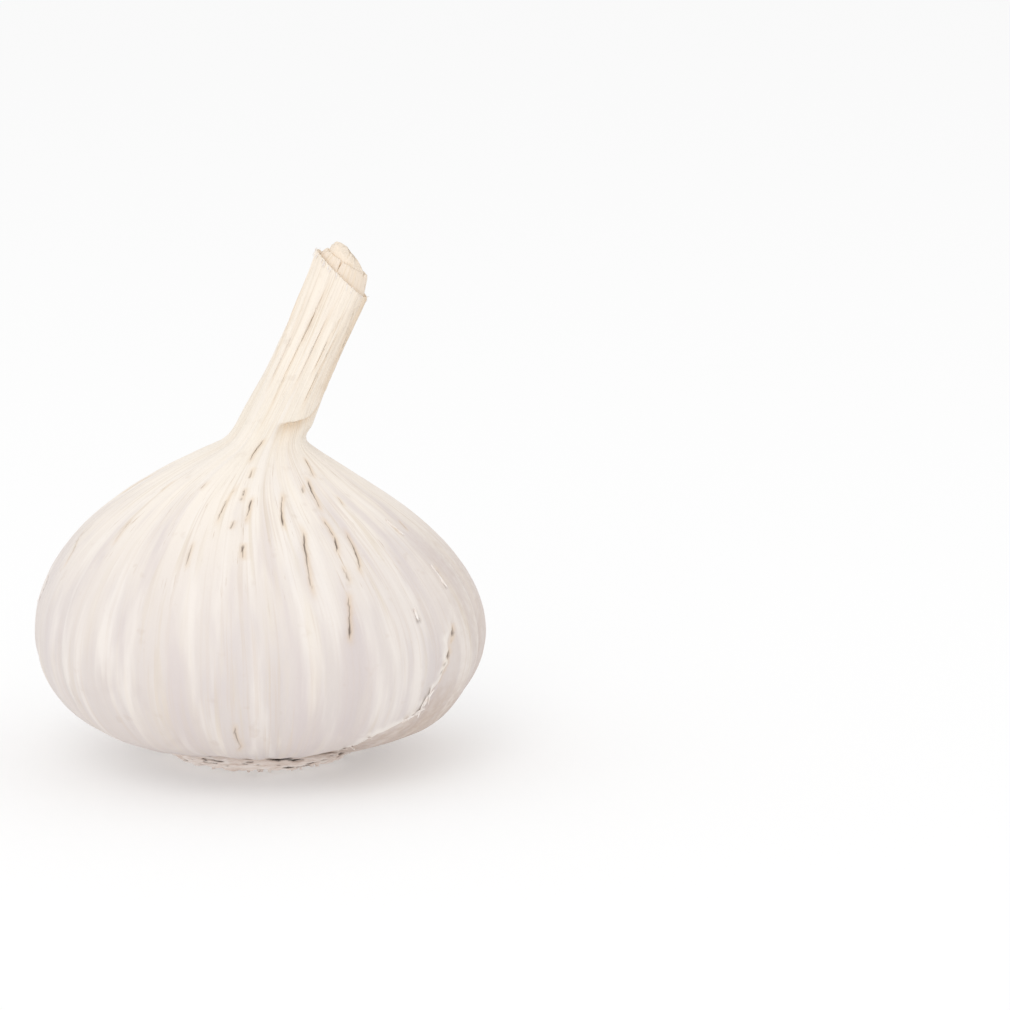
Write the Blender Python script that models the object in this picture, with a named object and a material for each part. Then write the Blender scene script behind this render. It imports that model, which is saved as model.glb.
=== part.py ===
"""A whole garlic bulb, cured and dry, with its stalk trimmed above the shoulders.

The head stands on its root plate with the stalk leaning towards +X.  Four pieces touch
each other with a small clearance: the head in its paper wrapper, whose outer leaf carries
on up as the outside of the stalk; the next leaf sheath, which stands proud of the cut; the
core of the stalk inside that sheath; and the root plate.

Metres, +Z up.  The origin is the middle of the small flat spot that the bulb rests on.
Angles round the bulb are counted from the front, which is -Y, towards +X.
"""

import math

import bmesh
import bpy
from mathutils import Vector
from mathutils.geometry import interpolate_bezier

MM = 0.001

# Head
HEAD_RADIUS = 30.25 * MM
WIDEST_HEIGHT = 17.0 * MM
HEAD_HEIGHT = 43.1 * MM          # where the shoulders run into the stalk
SHOULDER_SLOPE = math.radians(31.5)
SHOULDER_DRIFT = -1.1 * MM       # the shoulders sit a little away from the lean
SHOULDER_REACH = 0.42            # how far the straight of the shoulders runs out, 0 to 1
UNDERSIDE_REACH = 0.52           # how far the flat of the underside runs out, 0 to 1
SIDE_FULLNESS = 0.50             # how upright the sides stand above and below the girth

# Cloves under the wrapper: degrees of the girth that each one fills, from the front round
CLOVE_ARCS = (20, 25, 27, 26, 27, 25, 28, 26, 24, 26, 22, 24, 21, 19, 20)
FIRST_CREASE = math.radians(4.0)
CREASE_DEPTH = 0.75 * MM
CREASE_SHARPNESS = 3             # 1 for a pointed back on each clove, more for a round one
CREASE_FOOT_RUN = 4.0 * MM       # height over which the creases deepen above the foot
CREASE_NECK_RUN = 34.0 * MM      # height over which they fade out below the neck

# Stalk
STALK_LENGTH = 25.2 * MM         # from the shoulders to the middle of the cut
STALK_LEAN = math.radians(24.6)
STALK_OFFSET = 1.15 * MM         # how far towards the lean the stalk leaves the head
STALK_SWING = 7.0 * MM           # height over which the shoulders swing across to it
STALK_RAKE = 6.0 * MM            # length over which the stalk takes up its lean
STALK_BASE_WIDTH = 9.6 * MM
STALK_WAIST_WIDTH = 8.2 * MM
STALK_CUT_WIDTH = 8.9 * MM
STALK_WAIST_PLACE = 13.0 * MM    # up the stalk
STALK_BOW = 0.25 * MM            # sideways bow of the middle of the stalk
STALK_FLATNESS = 0.82            # depth over width at the cut
CUT_SLANT = math.radians(20.3)   # how far the knife strayed from a square cut
CUT_RUN = 9.0 * MM               # length over which the outline follows the slanted cut

# Layers seen in the cut
OUTER_LEAF_WALL = 0.40 * MM
INNER_LEAF_WALL = 0.45 * MM
INNER_LEAF_PROUD = 1.5 * MM
CORE_PROUD = 2.2 * MM
CORE_CROWN = 0.5 * MM
CORE_CROWN_INSET = 0.75 * MM
SOCKET_DEPTH = 8.0 * MM
FIT_GAP = 0.3 * MM

# Root plate
PLATE_RADIUS = 12.5 * MM
PLATE_FLAT_RADIUS = 8.8 * MM     # the flat spot that the bulb rests on
PLATE_RIM_LIFT = 0.80 * MM       # the rim stands clear of the ground by this much
PLATE_RIM_HEIGHT = 1.80 * MM
PLATE_CROWN = 1.6 * MM           # rise from rim to middle on the hidden upper side
PLATE_EDGE_ROUND = 0.97          # the rim's two edges lie at this share of its radius
CROWN_SHARES = (0.97, 0.65, 0.3)   # rings on the upper side, as shares of the radius

# Mesh
SEGMENTS = 72
LAYER_SEGMENTS = 36
UNDERSIDE_RINGS = 9
SHOULDER_RINGS = 14
STALK_RINGS = 11
SMOOTH_ANGLE = math.radians(40.0)


def smooth(value):
    """Ease from 0 to 1 as value goes from 0 to 1."""
    value = min(max(value, 0.0), 1.0)
    return value * value * (3.0 - 2.0 * value)


def clear_scene():
    for thing in list(bpy.data.objects):
        bpy.data.objects.remove(thing)


# ---- finishes --------------------------------------------------------------------------

def plant_finish(name, colour, roughness):
    """Dry plant matter: one linear colour, dull, not a metal."""
    made = bpy.data.materials.new(name)
    made.use_nodes = True
    shader = made.node_tree.nodes["Principled BSDF"]
    shader.inputs["Base Color"].default_value = (*colour, 1.0)
    shader.inputs["Roughness"].default_value = roughness
    shader.inputs["Metallic"].default_value = 0.0
    return made


def wrapper_finish():
    return plant_finish("dried_wrapper_leaf", (0.86, 0.78, 0.71), 0.55)


def sheath_finish():
    return plant_finish("dried_inner_leaf", (0.87, 0.75, 0.60), 0.60)


def core_finish():
    return plant_finish("dried_stalk_core", (0.90, 0.82, 0.68), 0.70)


def plate_finish():
    return plant_finish("corky_root_plate", (0.53, 0.44, 0.38), 0.90)


# ---- rings and skins -------------------------------------------------------------------

def loft(name, rings, finish, tube=False):
    """Skin a row of equal rings; cap both ends, or join the last ring to the first."""
    mesh = bmesh.new()
    loops = [[mesh.verts.new(point) for point in ring] for ring in rings]
    pairs = list(zip(loops, loops[1:]))
    if tube:
        pairs.append((loops[-1], loops[0]))
    else:
        mesh.faces.new(loops[0])
        mesh.faces.new(loops[-1])
    for low, high in pairs:
        for here in range(len(low)):
            there = (here + 1) % len(low)
            mesh.faces.new((low[here], low[there], high[there], high[here]))
    bmesh.ops.recalc_face_normals(mesh, faces=mesh.faces[:])
    data = bpy.data.meshes.new(name)
    mesh.to_mesh(data)
    mesh.free()
    data.materials.append(finish)
    data.shade_smooth()
    data.set_sharp_from_angle(angle=SMOOTH_ANGLE)
    made = bpy.data.objects.new(name, data)
    bpy.context.scene.collection.objects.link(made)
    return made


def oval(centre, tilt, half_width, half_depth, slant=0.0, segments=SEGMENTS):
    """A ring square to an axis tilted towards +X, sheared along that axis by slant."""
    across = Vector((math.cos(tilt), 0.0, -math.sin(tilt)))
    along = Vector((math.sin(tilt), 0.0, math.cos(tilt)))
    points = []
    for step in range(segments):
        angle = 2.0 * math.pi * step / segments
        side = half_width * math.sin(angle)
        front = Vector((0.0, -half_depth * math.cos(angle), 0.0))
        points.append(centre + across * side + front - along * side * slant)
    return points


def level_circle(radius, height):
    return oval(Vector((0.0, 0.0, height)), 0.0, radius, radius)


# ---- root plate outline ----------------------------------------------------------------

def plate_top(radius):
    """Height of the root plate's hidden upper side."""
    return PLATE_RIM_HEIGHT + PLATE_CROWN * (1.0 - (radius / PLATE_RADIUS) ** 2)


def foot_height():
    """Where the wrapper comes down to the plate's rim."""
    return plate_top(PLATE_RADIUS) + FIT_GAP


# ---- head ------------------------------------------------------------------------------

def crease(angle):
    """0 on the back of a clove, 1 in the crease between two cloves."""
    turn = math.degrees(angle - FIRST_CREASE) % 360.0
    for arc in CLOVE_ARCS:
        if turn < arc:
            return abs(2.0 * turn / arc - 1.0) ** CREASE_SHARPNESS
        turn -= arc
    return 1.0


def crease_depth(height):
    """Creases are deepest under the girth and fade out at the foot and at the neck."""
    foot = smooth((height - foot_height()) / CREASE_FOOT_RUN)
    neck = smooth((HEAD_HEIGHT - height) / CREASE_NECK_RUN)
    return CREASE_DEPTH * foot * neck


def head_centre(height):
    """The middle of the head drifts from the axis, then swings over into the stalk."""
    swing_start = HEAD_HEIGHT - STALK_SWING
    drift = smooth((height - WIDEST_HEIGHT) / (swing_start - WIDEST_HEIGHT))
    swing = max(0.0, (height - swing_start) / STALK_SWING) ** 2
    offset = SHOULDER_DRIFT * drift + (STALK_OFFSET - SHOULDER_DRIFT) * swing
    return Vector((offset, 0.0, height))


def head_outline():
    """Radius and height from the foot out to the girth and in to the stalk."""
    foot = Vector((PLATE_RADIUS, foot_height()))
    girth = Vector((HEAD_RADIUS, WIDEST_HEIGHT))
    neck = Vector((STALK_BASE_WIDTH / 2 / math.cos(STALK_LEAN), HEAD_HEIGHT))
    reach = Vector((UNDERSIDE_REACH * (girth.x - foot.x), 0.0))
    drop = Vector((0.0, SIDE_FULLNESS * (girth.y - foot.y)))
    rise = Vector((0.0, SIDE_FULLNESS * (neck.y - girth.y)))
    down_slope = Vector((math.cos(SHOULDER_SLOPE), -math.sin(SHOULDER_SLOPE)))
    run = down_slope * SHOULDER_REACH * (girth.x - neck.x)
    underside = interpolate_bezier(foot, foot + reach, girth - drop, girth, UNDERSIDE_RINGS)
    shoulders = interpolate_bezier(girth, girth + rise, neck + run, neck, SHOULDER_RINGS)
    return underside + shoulders[1:]


def head_ring(radius, height):
    """A level ring, drawn in at the creases between the cloves."""
    middle = head_centre(height)
    depth = crease_depth(height)
    points = []
    for step in range(SEGMENTS):
        angle = 2.0 * math.pi * step / SEGMENTS
        reach = radius - depth * crease(angle)
        outward = Vector((math.sin(angle), -math.cos(angle), 0.0))
        points.append(middle + outward * reach)
    return points


def seat_rings():
    """The hollow under the head that the root plate fills, from its middle outwards."""
    radii = [share * PLATE_RADIUS for share in reversed(CROWN_SHARES)]
    return [level_circle(radius, plate_top(radius) + FIT_GAP) for radius in radii]


# ---- stalk -----------------------------------------------------------------------------

def stalk_centre(length):
    """A point on the stalk's axis, this far above the shoulders."""
    along = Vector((math.sin(STALK_LEAN), 0.0, math.cos(STALK_LEAN)))
    across = Vector((along.z, 0.0, -along.x))
    share = length / STALK_LENGTH
    bow = 4.0 * STALK_BOW * share * (1.0 - share)
    return Vector((STALK_OFFSET, 0.0, HEAD_HEIGHT)) + along * length + across * bow


def stalk_half_width(length):
    """The stalk narrows to a waist and opens again towards the cut."""
    if length < STALK_WAIST_PLACE:
        end = STALK_BASE_WIDTH
        share = 1.0 - length / STALK_WAIST_PLACE
    else:
        end = STALK_CUT_WIDTH
        share = (length - STALK_WAIST_PLACE) / (STALK_LENGTH - STALK_WAIST_PLACE)
    return (STALK_WAIST_WIDTH + (end - STALK_WAIST_WIDTH) * share ** 2) / 2


def stalk_half_depth(length):
    """Round at the base, flattened by drying towards the cut."""
    flatness = 1.0 + (STALK_FLATNESS - 1.0) * smooth(length / STALK_LENGTH)
    return stalk_half_width(length) * flatness


def stalk_rings():
    rings = []
    for step in range(1, STALK_RINGS + 1):
        length = STALK_LENGTH * step / STALK_RINGS
        tilt = STALK_LEAN * smooth(length / STALK_RAKE)
        width = stalk_half_width(length) / math.cos(STALK_LEAN - tilt)
        slant = math.tan(CUT_SLANT) * smooth(1.0 + (length - STALK_LENGTH) / CUT_RUN)
        rings.append(oval(stalk_centre(length), tilt, width, stalk_half_depth(length), slant))
    return rings


def layer_ring(length, inset, segments=LAYER_SEGMENTS):
    """A slanted ring inside the stalk, this far in from the outside of the outer leaf."""
    at = min(length, STALK_LENGTH)
    width = stalk_half_width(at) - inset
    depth = stalk_half_depth(at) - inset
    return oval(stalk_centre(length), STALK_LEAN, width, depth, math.tan(CUT_SLANT), segments)


def socket_floor():
    return STALK_LENGTH - SOCKET_DEPTH


def layer_lengths(proud):
    """Where a layer's rings lie: its foot, half way, level with the cut, and its top."""
    low = socket_floor() + FIT_GAP
    return [low, (low + STALK_LENGTH) / 2, STALK_LENGTH, STALK_LENGTH + proud]


# ---- pieces ----------------------------------------------------------------------------

def make_wrapped_bulb():
    """Head and outer leaf as one skin, with a socket in the cut for the inner layers."""
    rings = seat_rings()
    rings += [head_ring(point.x, point.y) for point in head_outline()]
    rings += stalk_rings()
    for length in (STALK_LENGTH, socket_floor()):
        rings.append(layer_ring(length, OUTER_LEAF_WALL, SEGMENTS))
    return loft("wrapped_bulb", rings, wrapper_finish())


def make_inner_sheath():
    """The next leaf in: a tube round the core that stands proud of the outer leaf."""
    outside = OUTER_LEAF_WALL + FIT_GAP
    inside = outside + INNER_LEAF_WALL
    lengths = layer_lengths(INNER_LEAF_PROUD)
    rings = [layer_ring(length, outside) for length in lengths]
    rings += [layer_ring(length, inside) for length in reversed(lengths)]
    return loft("inner_sheath", rings, sheath_finish(), tube=True)


def make_stalk_core():
    """The packed innermost leaves, cut off highest of all with a low crown."""
    inset = OUTER_LEAF_WALL + INNER_LEAF_WALL + 2 * FIT_GAP
    lengths = layer_lengths(CORE_PROUD)
    rings = [layer_ring(length, inset) for length in lengths]
    rings.append(layer_ring(lengths[-1] + CORE_CROWN, inset + CORE_CROWN_INSET))
    return loft("stalk_core", rings, core_finish())


def make_root_plate():
    """A low corky disc: flat in the middle below, lifted at the rim, crowned above."""
    rim_middle = (PLATE_RIM_LIFT + PLATE_RIM_HEIGHT) / 2
    rings = [
        level_circle(PLATE_FLAT_RADIUS, 0.0),
        level_circle(PLATE_EDGE_ROUND * PLATE_RADIUS, PLATE_RIM_LIFT),
        level_circle(PLATE_RADIUS, rim_middle),
    ]
    radii = [share * PLATE_RADIUS for share in CROWN_SHARES]
    rings += [level_circle(radius, plate_top(radius)) for radius in radii]
    return loft("root_plate", rings, plate_finish())


def main():
    clear_scene()
    make_wrapped_bulb()
    make_inner_sheath()
    make_stalk_core()
    make_root_plate()


main()
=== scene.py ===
# %% [markdown]
# # A garlic bulb, cured and dry
#
# A bulb of garlic is a ring of cloves packed in dry leaf bases. The outermost leaf is the
# papery wrapper that we see on the head, and it carries on up as the outside of the stalk.
# Inside the cut stalk are the next leaf and a pithy core, and under the head is the corky
# root plate with the stubs of its roots.
#
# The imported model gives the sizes. This lesson makes the fine surface on top of it: a skin
# that is gathered at the neck, split along its veins and torn near the foot.

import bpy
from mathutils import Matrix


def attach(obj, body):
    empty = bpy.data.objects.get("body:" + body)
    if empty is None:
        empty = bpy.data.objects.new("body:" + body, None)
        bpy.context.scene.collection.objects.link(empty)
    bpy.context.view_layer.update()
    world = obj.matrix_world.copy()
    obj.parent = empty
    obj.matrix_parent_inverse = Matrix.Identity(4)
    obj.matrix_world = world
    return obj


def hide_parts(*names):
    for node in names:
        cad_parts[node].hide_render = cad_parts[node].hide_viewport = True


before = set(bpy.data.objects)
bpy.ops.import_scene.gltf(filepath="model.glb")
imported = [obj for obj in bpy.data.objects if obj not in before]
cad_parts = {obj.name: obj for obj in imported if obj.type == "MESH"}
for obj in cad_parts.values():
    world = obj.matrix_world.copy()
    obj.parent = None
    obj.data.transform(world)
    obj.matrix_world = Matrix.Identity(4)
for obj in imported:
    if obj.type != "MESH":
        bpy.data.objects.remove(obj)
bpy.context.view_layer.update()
print("nodes in the packed model:", ", ".join(sorted(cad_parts)))

# %% Modules and units
import math

import bpy
import numpy as np
from mathutils import Vector

MM = 0.001          # shapes below are worked out in millimetres and stored in metres
TAU = 2.0 * math.pi

# %% [markdown]
# ## One helper for every node
#
# Both the finishes and the Geometry Nodes trees are made of nodes. One small function adds a
# node, sets its own settings, and then fills each socket with a value or with a link.

# %% Adding a node
def socket(sockets, name):
    """Find a socket by number, by identifier, or by the name that is written on it."""
    if isinstance(name, int):
        return sockets[name]
    for candidate in sockets:
        if candidate.identifier == name:
            return candidate
    return sockets[name]


def add(tree, kind, values=None, **settings):
    """Add a node, apply its settings, and set or link its input sockets."""
    node = tree.nodes.new(kind)
    for name, value in settings.items():
        setattr(node, name, value)
    for name, value in (values or {}).items():
        target = socket(node.inputs, name)
        if isinstance(value, bpy.types.NodeSocket):
            tree.links.new(value, target)
        else:
            target.default_value = value
    return node


# %% Colours are written as sRGB hex and stored as linear numbers
def colour(code):
    shares = [int(code[at:at + 2], 16) / 255.0 for at in (1, 3, 5)]
    linear = [s / 12.92 if s <= 0.04045 else ((s + 0.055) / 1.055) ** 2.4 for s in shares]
    return (*linear, 1.0)


print("paper white in linear numbers:", [round(part, 3) for part in colour("#f3ece3")])

# %% Showing new data in the scene
def show(name, data):
    """A new object at the origin that shows a mesh, a lamp or a camera."""
    made = bpy.data.objects.new(name, data)
    bpy.context.scene.collection.objects.link(made)
    return made


# %% [markdown]
# ## The skin as a stack of rings
#
# The wrapper is one surface from the hollow over the root plate, out round the girth, in to
# the neck, up the stalk and over the cut into the socket of the inner leaves. It follows a
# rule, so it is a stack of rings: each has a middle, a tilt, a half width and a half depth.
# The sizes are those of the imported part. `up` counts millimetres up the skin: the height
# on the head, and then the height of the neck plus the length along the stalk. The table holds
# a ring every tenth of a millimetre, and the neck is smoothed in it.

# %% Sizes of the head and the stalk, in millimetres and degrees
HEAD_RADIUS = 30.25
WIDEST_HEIGHT = 17.0
NECK = 43.1                     # height at which the shoulders run into the stalk
SHOULDER_SLOPE = math.radians(31.5)
SHOULDER_DRIFT = -1.1
SHOULDER_REACH = 0.42
UNDERSIDE_REACH = 0.52
SIDE_FULLNESS = 0.50

STALK_LENGTH = 25.2
STALK_LEAN = math.radians(24.6)
STALK_OFFSET = 1.15
STALK_SWING = 7.0
STALK_RAKE = 6.0
STALK_BASE, STALK_WAIST, STALK_CUT = 9.6, 8.2, 8.9     # widths
WAIST_PLACE = 13.0
STALK_BOW = 0.25
STALK_FLATNESS = 0.82
CUT_SLANT = math.tan(math.radians(20.3))
CUT_RUN = 9.0
OUTER_WALL = 0.40
SOCKET_DEPTH = 8.0
FIT_GAP = 0.3
CUT = STALK_LENGTH - 0.95       # the edge of the outer leaf has dried back a little

PLATE_RADIUS = 12.5
PLATE_FLAT = 8.8
PLATE_RIM_HEIGHT = 1.80
PLATE_CROWN = 1.6


def smooth(value):
    """Ease from 0 to 1 as value goes from 0 to 1."""
    value = np.clip(value, 0.0, 1.0)
    return value * value * (3.0 - 2.0 * value)


def bell(value):
    """1 at zero, falling away softly on both sides."""
    return np.exp(-np.square(value))


def curve_points(start, leave, arrive, end, count=90):
    """Points along a Bezier curve given by its ends and its two handles."""
    t = np.linspace(0.0, 1.0, count)[:, None]
    corners = [np.array(corner, dtype=float) for corner in (start, leave, arrive, end)]
    weights = ((1 - t) ** 3, 3 * t * (1 - t) ** 2, 3 * t * t * (1 - t), t ** 3)
    return sum(weight * corner for weight, corner in zip(weights, corners))


# %% Rings of the head
def plate_top(radius):
    return PLATE_RIM_HEIGHT + PLATE_CROWN * (1.0 - (radius / PLATE_RADIUS) ** 2)


FOOT = plate_top(PLATE_RADIUS) + FIT_GAP


def head_outline():
    """Radius and height from the foot out to the girth and in to the neck."""
    foot = np.array((PLATE_RADIUS, FOOT))
    girth = np.array((HEAD_RADIUS, WIDEST_HEIGHT))
    neck = np.array((STALK_BASE / 2 / math.cos(STALK_LEAN), NECK))
    reach = np.array((UNDERSIDE_REACH * (girth[0] - foot[0]), 0.0))
    drop = np.array((0.0, SIDE_FULLNESS * (girth[1] - foot[1])))
    rise = np.array((0.0, SIDE_FULLNESS * (neck[1] - girth[1])))
    slope = np.array((math.cos(SHOULDER_SLOPE), -math.sin(SHOULDER_SLOPE)))
    run = slope * SHOULDER_REACH * (girth[0] - neck[0])
    underside = curve_points(foot, foot + reach, girth - drop, girth)
    shoulders = curve_points(girth, girth + rise, neck + run, neck)
    return np.vstack((underside, shoulders[1:]))


def head_rings():
    """Columns: middle x, middle z, tilt, half width, half depth, slant, up."""
    radius, height = head_outline().T
    swing_start = NECK - STALK_SWING
    drift = smooth((height - WIDEST_HEIGHT) / (swing_start - WIDEST_HEIGHT))
    swing = np.maximum(0.0, (height - swing_start) / STALK_SWING) ** 2
    middle = SHOULDER_DRIFT * drift + (STALK_OFFSET - SHOULDER_DRIFT) * swing
    none = np.zeros_like(height)
    return np.column_stack((middle, height, none, radius, radius, none, height))


def seat_rings():
    """The hollow over the root plate, from its middle outwards."""
    radius = PLATE_RADIUS * np.array((0.3, 0.6, 0.8, 0.9, 0.96))
    none = np.zeros_like(radius)
    height = plate_top(radius) + FIT_GAP
    return np.column_stack((none, height, none, radius, radius, none, FOOT - PLATE_RADIUS + radius))


# %% Rings of the stalk
def stalk_axis(length):
    """Middle x and z at a length up the stalk, with the stalk's slight bow."""
    share = length / STALK_LENGTH
    bow = 4.0 * STALK_BOW * share * (1.0 - share)
    x = STALK_OFFSET + math.sin(STALK_LEAN) * length + math.cos(STALK_LEAN) * bow
    z = NECK + math.cos(STALK_LEAN) * length - math.sin(STALK_LEAN) * bow
    return x, z


def stalk_halves(length):
    """Half width and half depth: a waist part way up, and flatter towards the cut."""
    low = 1.0 - length / WAIST_PLACE
    high = (length - WAIST_PLACE) / (STALK_LENGTH - WAIST_PLACE)
    below = STALK_WAIST + (STALK_BASE - STALK_WAIST) * low ** 2
    above = STALK_WAIST + (STALK_CUT - STALK_WAIST) * high ** 2
    width = np.where(length < WAIST_PLACE, below, above) / 2
    depth = width * (1.0 + (STALK_FLATNESS - 1.0) * smooth(length / STALK_LENGTH))
    return width, depth


def stalk_rings():
    length = np.linspace(0.2, CUT, 126)
    x, z = stalk_axis(length)
    width, depth = stalk_halves(length)
    tilt = STALK_LEAN * smooth(length / STALK_RAKE)
    slant = CUT_SLANT * smooth(1.0 + (length - STALK_LENGTH) / CUT_RUN)
    return np.column_stack((x, z, tilt, width / np.cos(STALK_LEAN - tilt), depth, slant, NECK + length))


def layer_rings(lengths, insets):
    """Slanted rings inside the stalk, each this far in from the outside of the outer leaf."""
    lengths, insets = np.array(lengths, dtype=float), np.array(insets, dtype=float)
    width, depth = stalk_halves(np.minimum(lengths, STALK_LENGTH))
    x, z = stalk_axis(lengths)
    full = np.ones_like(lengths)
    return np.column_stack((x, z, full * STALK_LEAN, width - insets, depth - insets, full * CUT_SLANT))


# %% One table for the whole skin
def ring_steps(rings):
    """Distance along the skin from each ring to the next, at the side of the bulb."""
    return np.hypot(np.diff(rings[:, 3] + rings[:, 0] * 0.5), np.diff(rings[:, 1]))


TABLE_STEP = 0.1        # mm between rings of the table
NECK_BLUR = 1.3         # mm over which the turn at the neck is smoothed
NECK_REACH = 6.0        # mm on each side of the neck that the smoothing reaches


def skin_table():
    """Places along the skin, and at each the seven columns of its ring."""
    rings = np.vstack((seat_rings(), head_rings(), stalk_rings()))
    place = np.concatenate(((0.0,), np.cumsum(ring_steps(rings))))
    even = np.arange(0.0, place[-1], TABLE_STEP)
    table = np.column_stack([np.interp(even, place, column) for column in rings.T])
    kernel = bell(np.arange(-30, 31) * TABLE_STEP / NECK_BLUR)
    kernel /= kernel.sum()
    soft = np.column_stack([np.convolve(np.pad(column, 30, "edge"), kernel, "valid")
                            for column in table.T])
    neck = np.interp(NECK, table[:, 6], even)
    near = bell((even - neck) / NECK_REACH)[:, None]
    table[:, :6] += (soft - table)[:, :6] * near
    return even, table


PLACES, SKIN = skin_table()
UP = SKIN[:, 6]
print("skin from the middle of the seat to the cut:", round(PLACES[-1], 1), "mm")

# %% [markdown]
# ## A grid that crowds where the detail is
#
# The skin is a grid of quads, about half a millimetre wide. A split in the leaf is narrower
# than that. Cutting the grid up round each split would leave untidy corners, so the grid's
# own lines are drawn together instead: meridians crowd along each split, and rings crowd
# along the torn edge and under the fold at the neck.

# %% Splits in the wrapper: width in mm, darkness, then (degrees, up) down it
SPLITS = (
    (0.42, 0.75, (-6, 43.7), (-7, 42.4), (-6.5, 41.5)),
    (0.40, 0.45, (0, 40.7), (0, 39.9)),
    (0.26, 0.55, (-7, 38.8), (-9, 37.3), (-10, 35.5)),
    (0.30, 0.65, (-1, 38.7), (-1, 37.6)),
    (0.30, 0.90, (4, 37.7), (2, 35.5)),
    (0.30, 0.60, (-3, 35.5), (-4, 34.7)),
    (0.34, 0.95, (20, 37.9), (17, 35.7), (17, 34.9)),
    (0.22, 0.55, (35, 38.9), (33, 38.1)),
    (0.34, 0.90, (40, 39.3), (37, 36.4)),
    (0.30, 0.70, (50, 41.4), (47, 39.6)),
    (0.22, 0.45, (51, 37.1), (50, 36.2)),
    (0.36, 0.95, (35, 35.1), (35, 33.2), (33, 31.8)),
    (0.32, 0.85, (41, 33.5), (39, 30.9), (37, 29.6)),
    (0.42, 0.85, (24, 34.2), (22, 32.3), (20.5, 29.8), (20, 28.0)),
    (0.52, 0.85, (1, 33.1), (1, 31.7)),
    (0.20, 0.50, (32, 30.1), (32, 28.4)),
    (0.46, 1.00, (30, 26.8), (28, 23.9), (27, 22.1)),
    (0.20, 0.50, (-17, 33.0), (-17, 30.7)),
    (0.26, 0.30, (-51, 34.5), (-50, 32.1)),
    (0.20, 0.45, (-77, 31.5), (-70, 29.8), (-69, 28.2)),
    (0.20, 0.35, (-54, 38.9), (-53, 37.8)),
    (0.20, 0.35, (-27, 39.2), (-27, 38.5)),
    (0.50, 1.00, (61, 21.0), (60.2, 20.0), (59, 19.0)),
    (0.50, 1.00, (58.2, 18.2), (57.2, 17.0), (55.6, 15.2)),
    (0.24, 0.60, (-3, 11.1), (-3, 9.6), (-2, 7.9), (-3, 7.1)),
    (0.24, 0.50, (65, 33.6), (64.5, 32.2)),
    (0.22, 0.50, (72, 33.2), (71, 32.2)),
    (0.26, 0.45, (67, 27.8), (66, 26.3)),
)

# %% Cracks along the stalk, in the same form, and more of both round the back
CRACKS = (
    (0.16, 0.42, (-19, 61.6), (-19, 59.4), (-20.5, 57.4)),
    (0.08, 0.24, (-18, 65.0), (-20, 60.0), (-24, 53.0), (-22, 48.0)),
    (0.08, 0.22, (29, 63.2), (23, 59.5), (22, 54.6)),
    (0.08, 0.20, (36, 61.0), (31, 55.5), (30, 50.0)),
    (0.16, 0.50, (66, 60.4), (70, 58.8), (74, 57.0)),
    (0.12, 0.24, (48, 65.1), (55, 62.0), (60, 58.0)),
    (0.06, 0.22, (5, 62.0), (2, 52.0)),
    (0.06, 0.22, (-50, 62.0), (-44, 51.0)),
)


HIGHEST_SPLIT = 40.5
CRACK_WIDTH = 0.10


def back_splits(count, seed):
    """Splits of the same kind round the side that faces away, longer the lower they start."""
    random = np.random.default_rng(seed)
    made = []
    for _ in range(count):
        top = random.uniform(27.0, HIGHEST_SPLIT)
        angle = random.uniform(88.0, 272.0)
        run = random.uniform(1.2, 2.2 + 0.25 * (HIGHEST_SPLIT - top))
        turn = random.uniform(-1.0, 1.0)
        width = random.uniform(0.18, 0.36)
        dark = random.uniform(0.35, 0.90)
        points = ((angle, top), (angle + turn, top - 0.6 * run), (angle + 0.6 * turn, top - run))
        made.append((width, dark, *points))
    return tuple(made)


def back_cracks(count, seed):
    """Cracks down the back of the stalk, which all lean the same way."""
    random = np.random.default_rng(seed)
    made = []
    for _ in range(count):
        top = random.uniform(54.0, 66.0)
        angle = random.uniform(110.0, 300.0)
        run = random.uniform(3.0, 9.0)
        dark = random.uniform(0.15, 0.35)
        made.append((CRACK_WIDTH, dark, (angle, top), (angle + 4.0, top - run)))
    return tuple(made)


ALL_SPLITS = SPLITS + CRACKS + back_splits(count=26, seed=4) + back_cracks(count=7, seed=9)
print(len(ALL_SPLITS), "splits and cracks")


# %% Where a vertex lies beside a split
def beside(split, angle, up, radius):
    """Millimetres to the side of a split, and the share of its length, 0 at its low end."""
    points = np.array(sorted(split[2:], key=lambda point: point[1]))
    middle = np.radians(np.interp(up, points[:, 1], points[:, 0]))
    turn = (angle - middle + math.pi) % TAU - math.pi
    share = (up - points[0, 1]) / (points[-1, 1] - points[0, 1])
    return turn * radius, share


# %% The torn edge of the outer skin, and the fold at the foot of the stalk
# Each row of TEAR is (up, degrees): the outer skin is gone to the right of this line.
TEAR = ((2.0, 31), (5.0, 33), (8.3, 37), (9.4, 44), (10.6, 50), (14.5, 55), (18.0, 58),
        (21.0, 60.5), (24.0, 63), (28.0, 66.5), (31.0, 68), (35.0, 68))
TEAR_END = math.radians(119)
TEAR_LEVEL_FROM, TEAR_LEVEL_TO = math.radians(30), math.radians(53)    # where it runs level

# Each row of FOLD is (degrees, mm above the neck): the lip of the fold runs along this line.
FOLD = ((-14, 3.0), (0, 3.3), (15, 3.8), (32, 4.5), (50, 5.6), (64, 7.4), (76, 9.8),
        (90, 13.0), (130, 14.0))


def along(route, value):
    """Read the second column of a route at values of its first."""
    points = np.array(route, dtype=float)
    return np.interp(value, points[:, 0], points[:, 1])


def tear_angle(up):
    """The edge follows the veins in long runs, with small steps where it crosses them."""
    jag = 0.9 * np.sin(0.9 * up) + 0.35 * np.sin(3.1 * up + 1.0) + 0.20 * np.sin(9.0 * up)
    return np.radians(along(TEAR, up) + jag)


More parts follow.
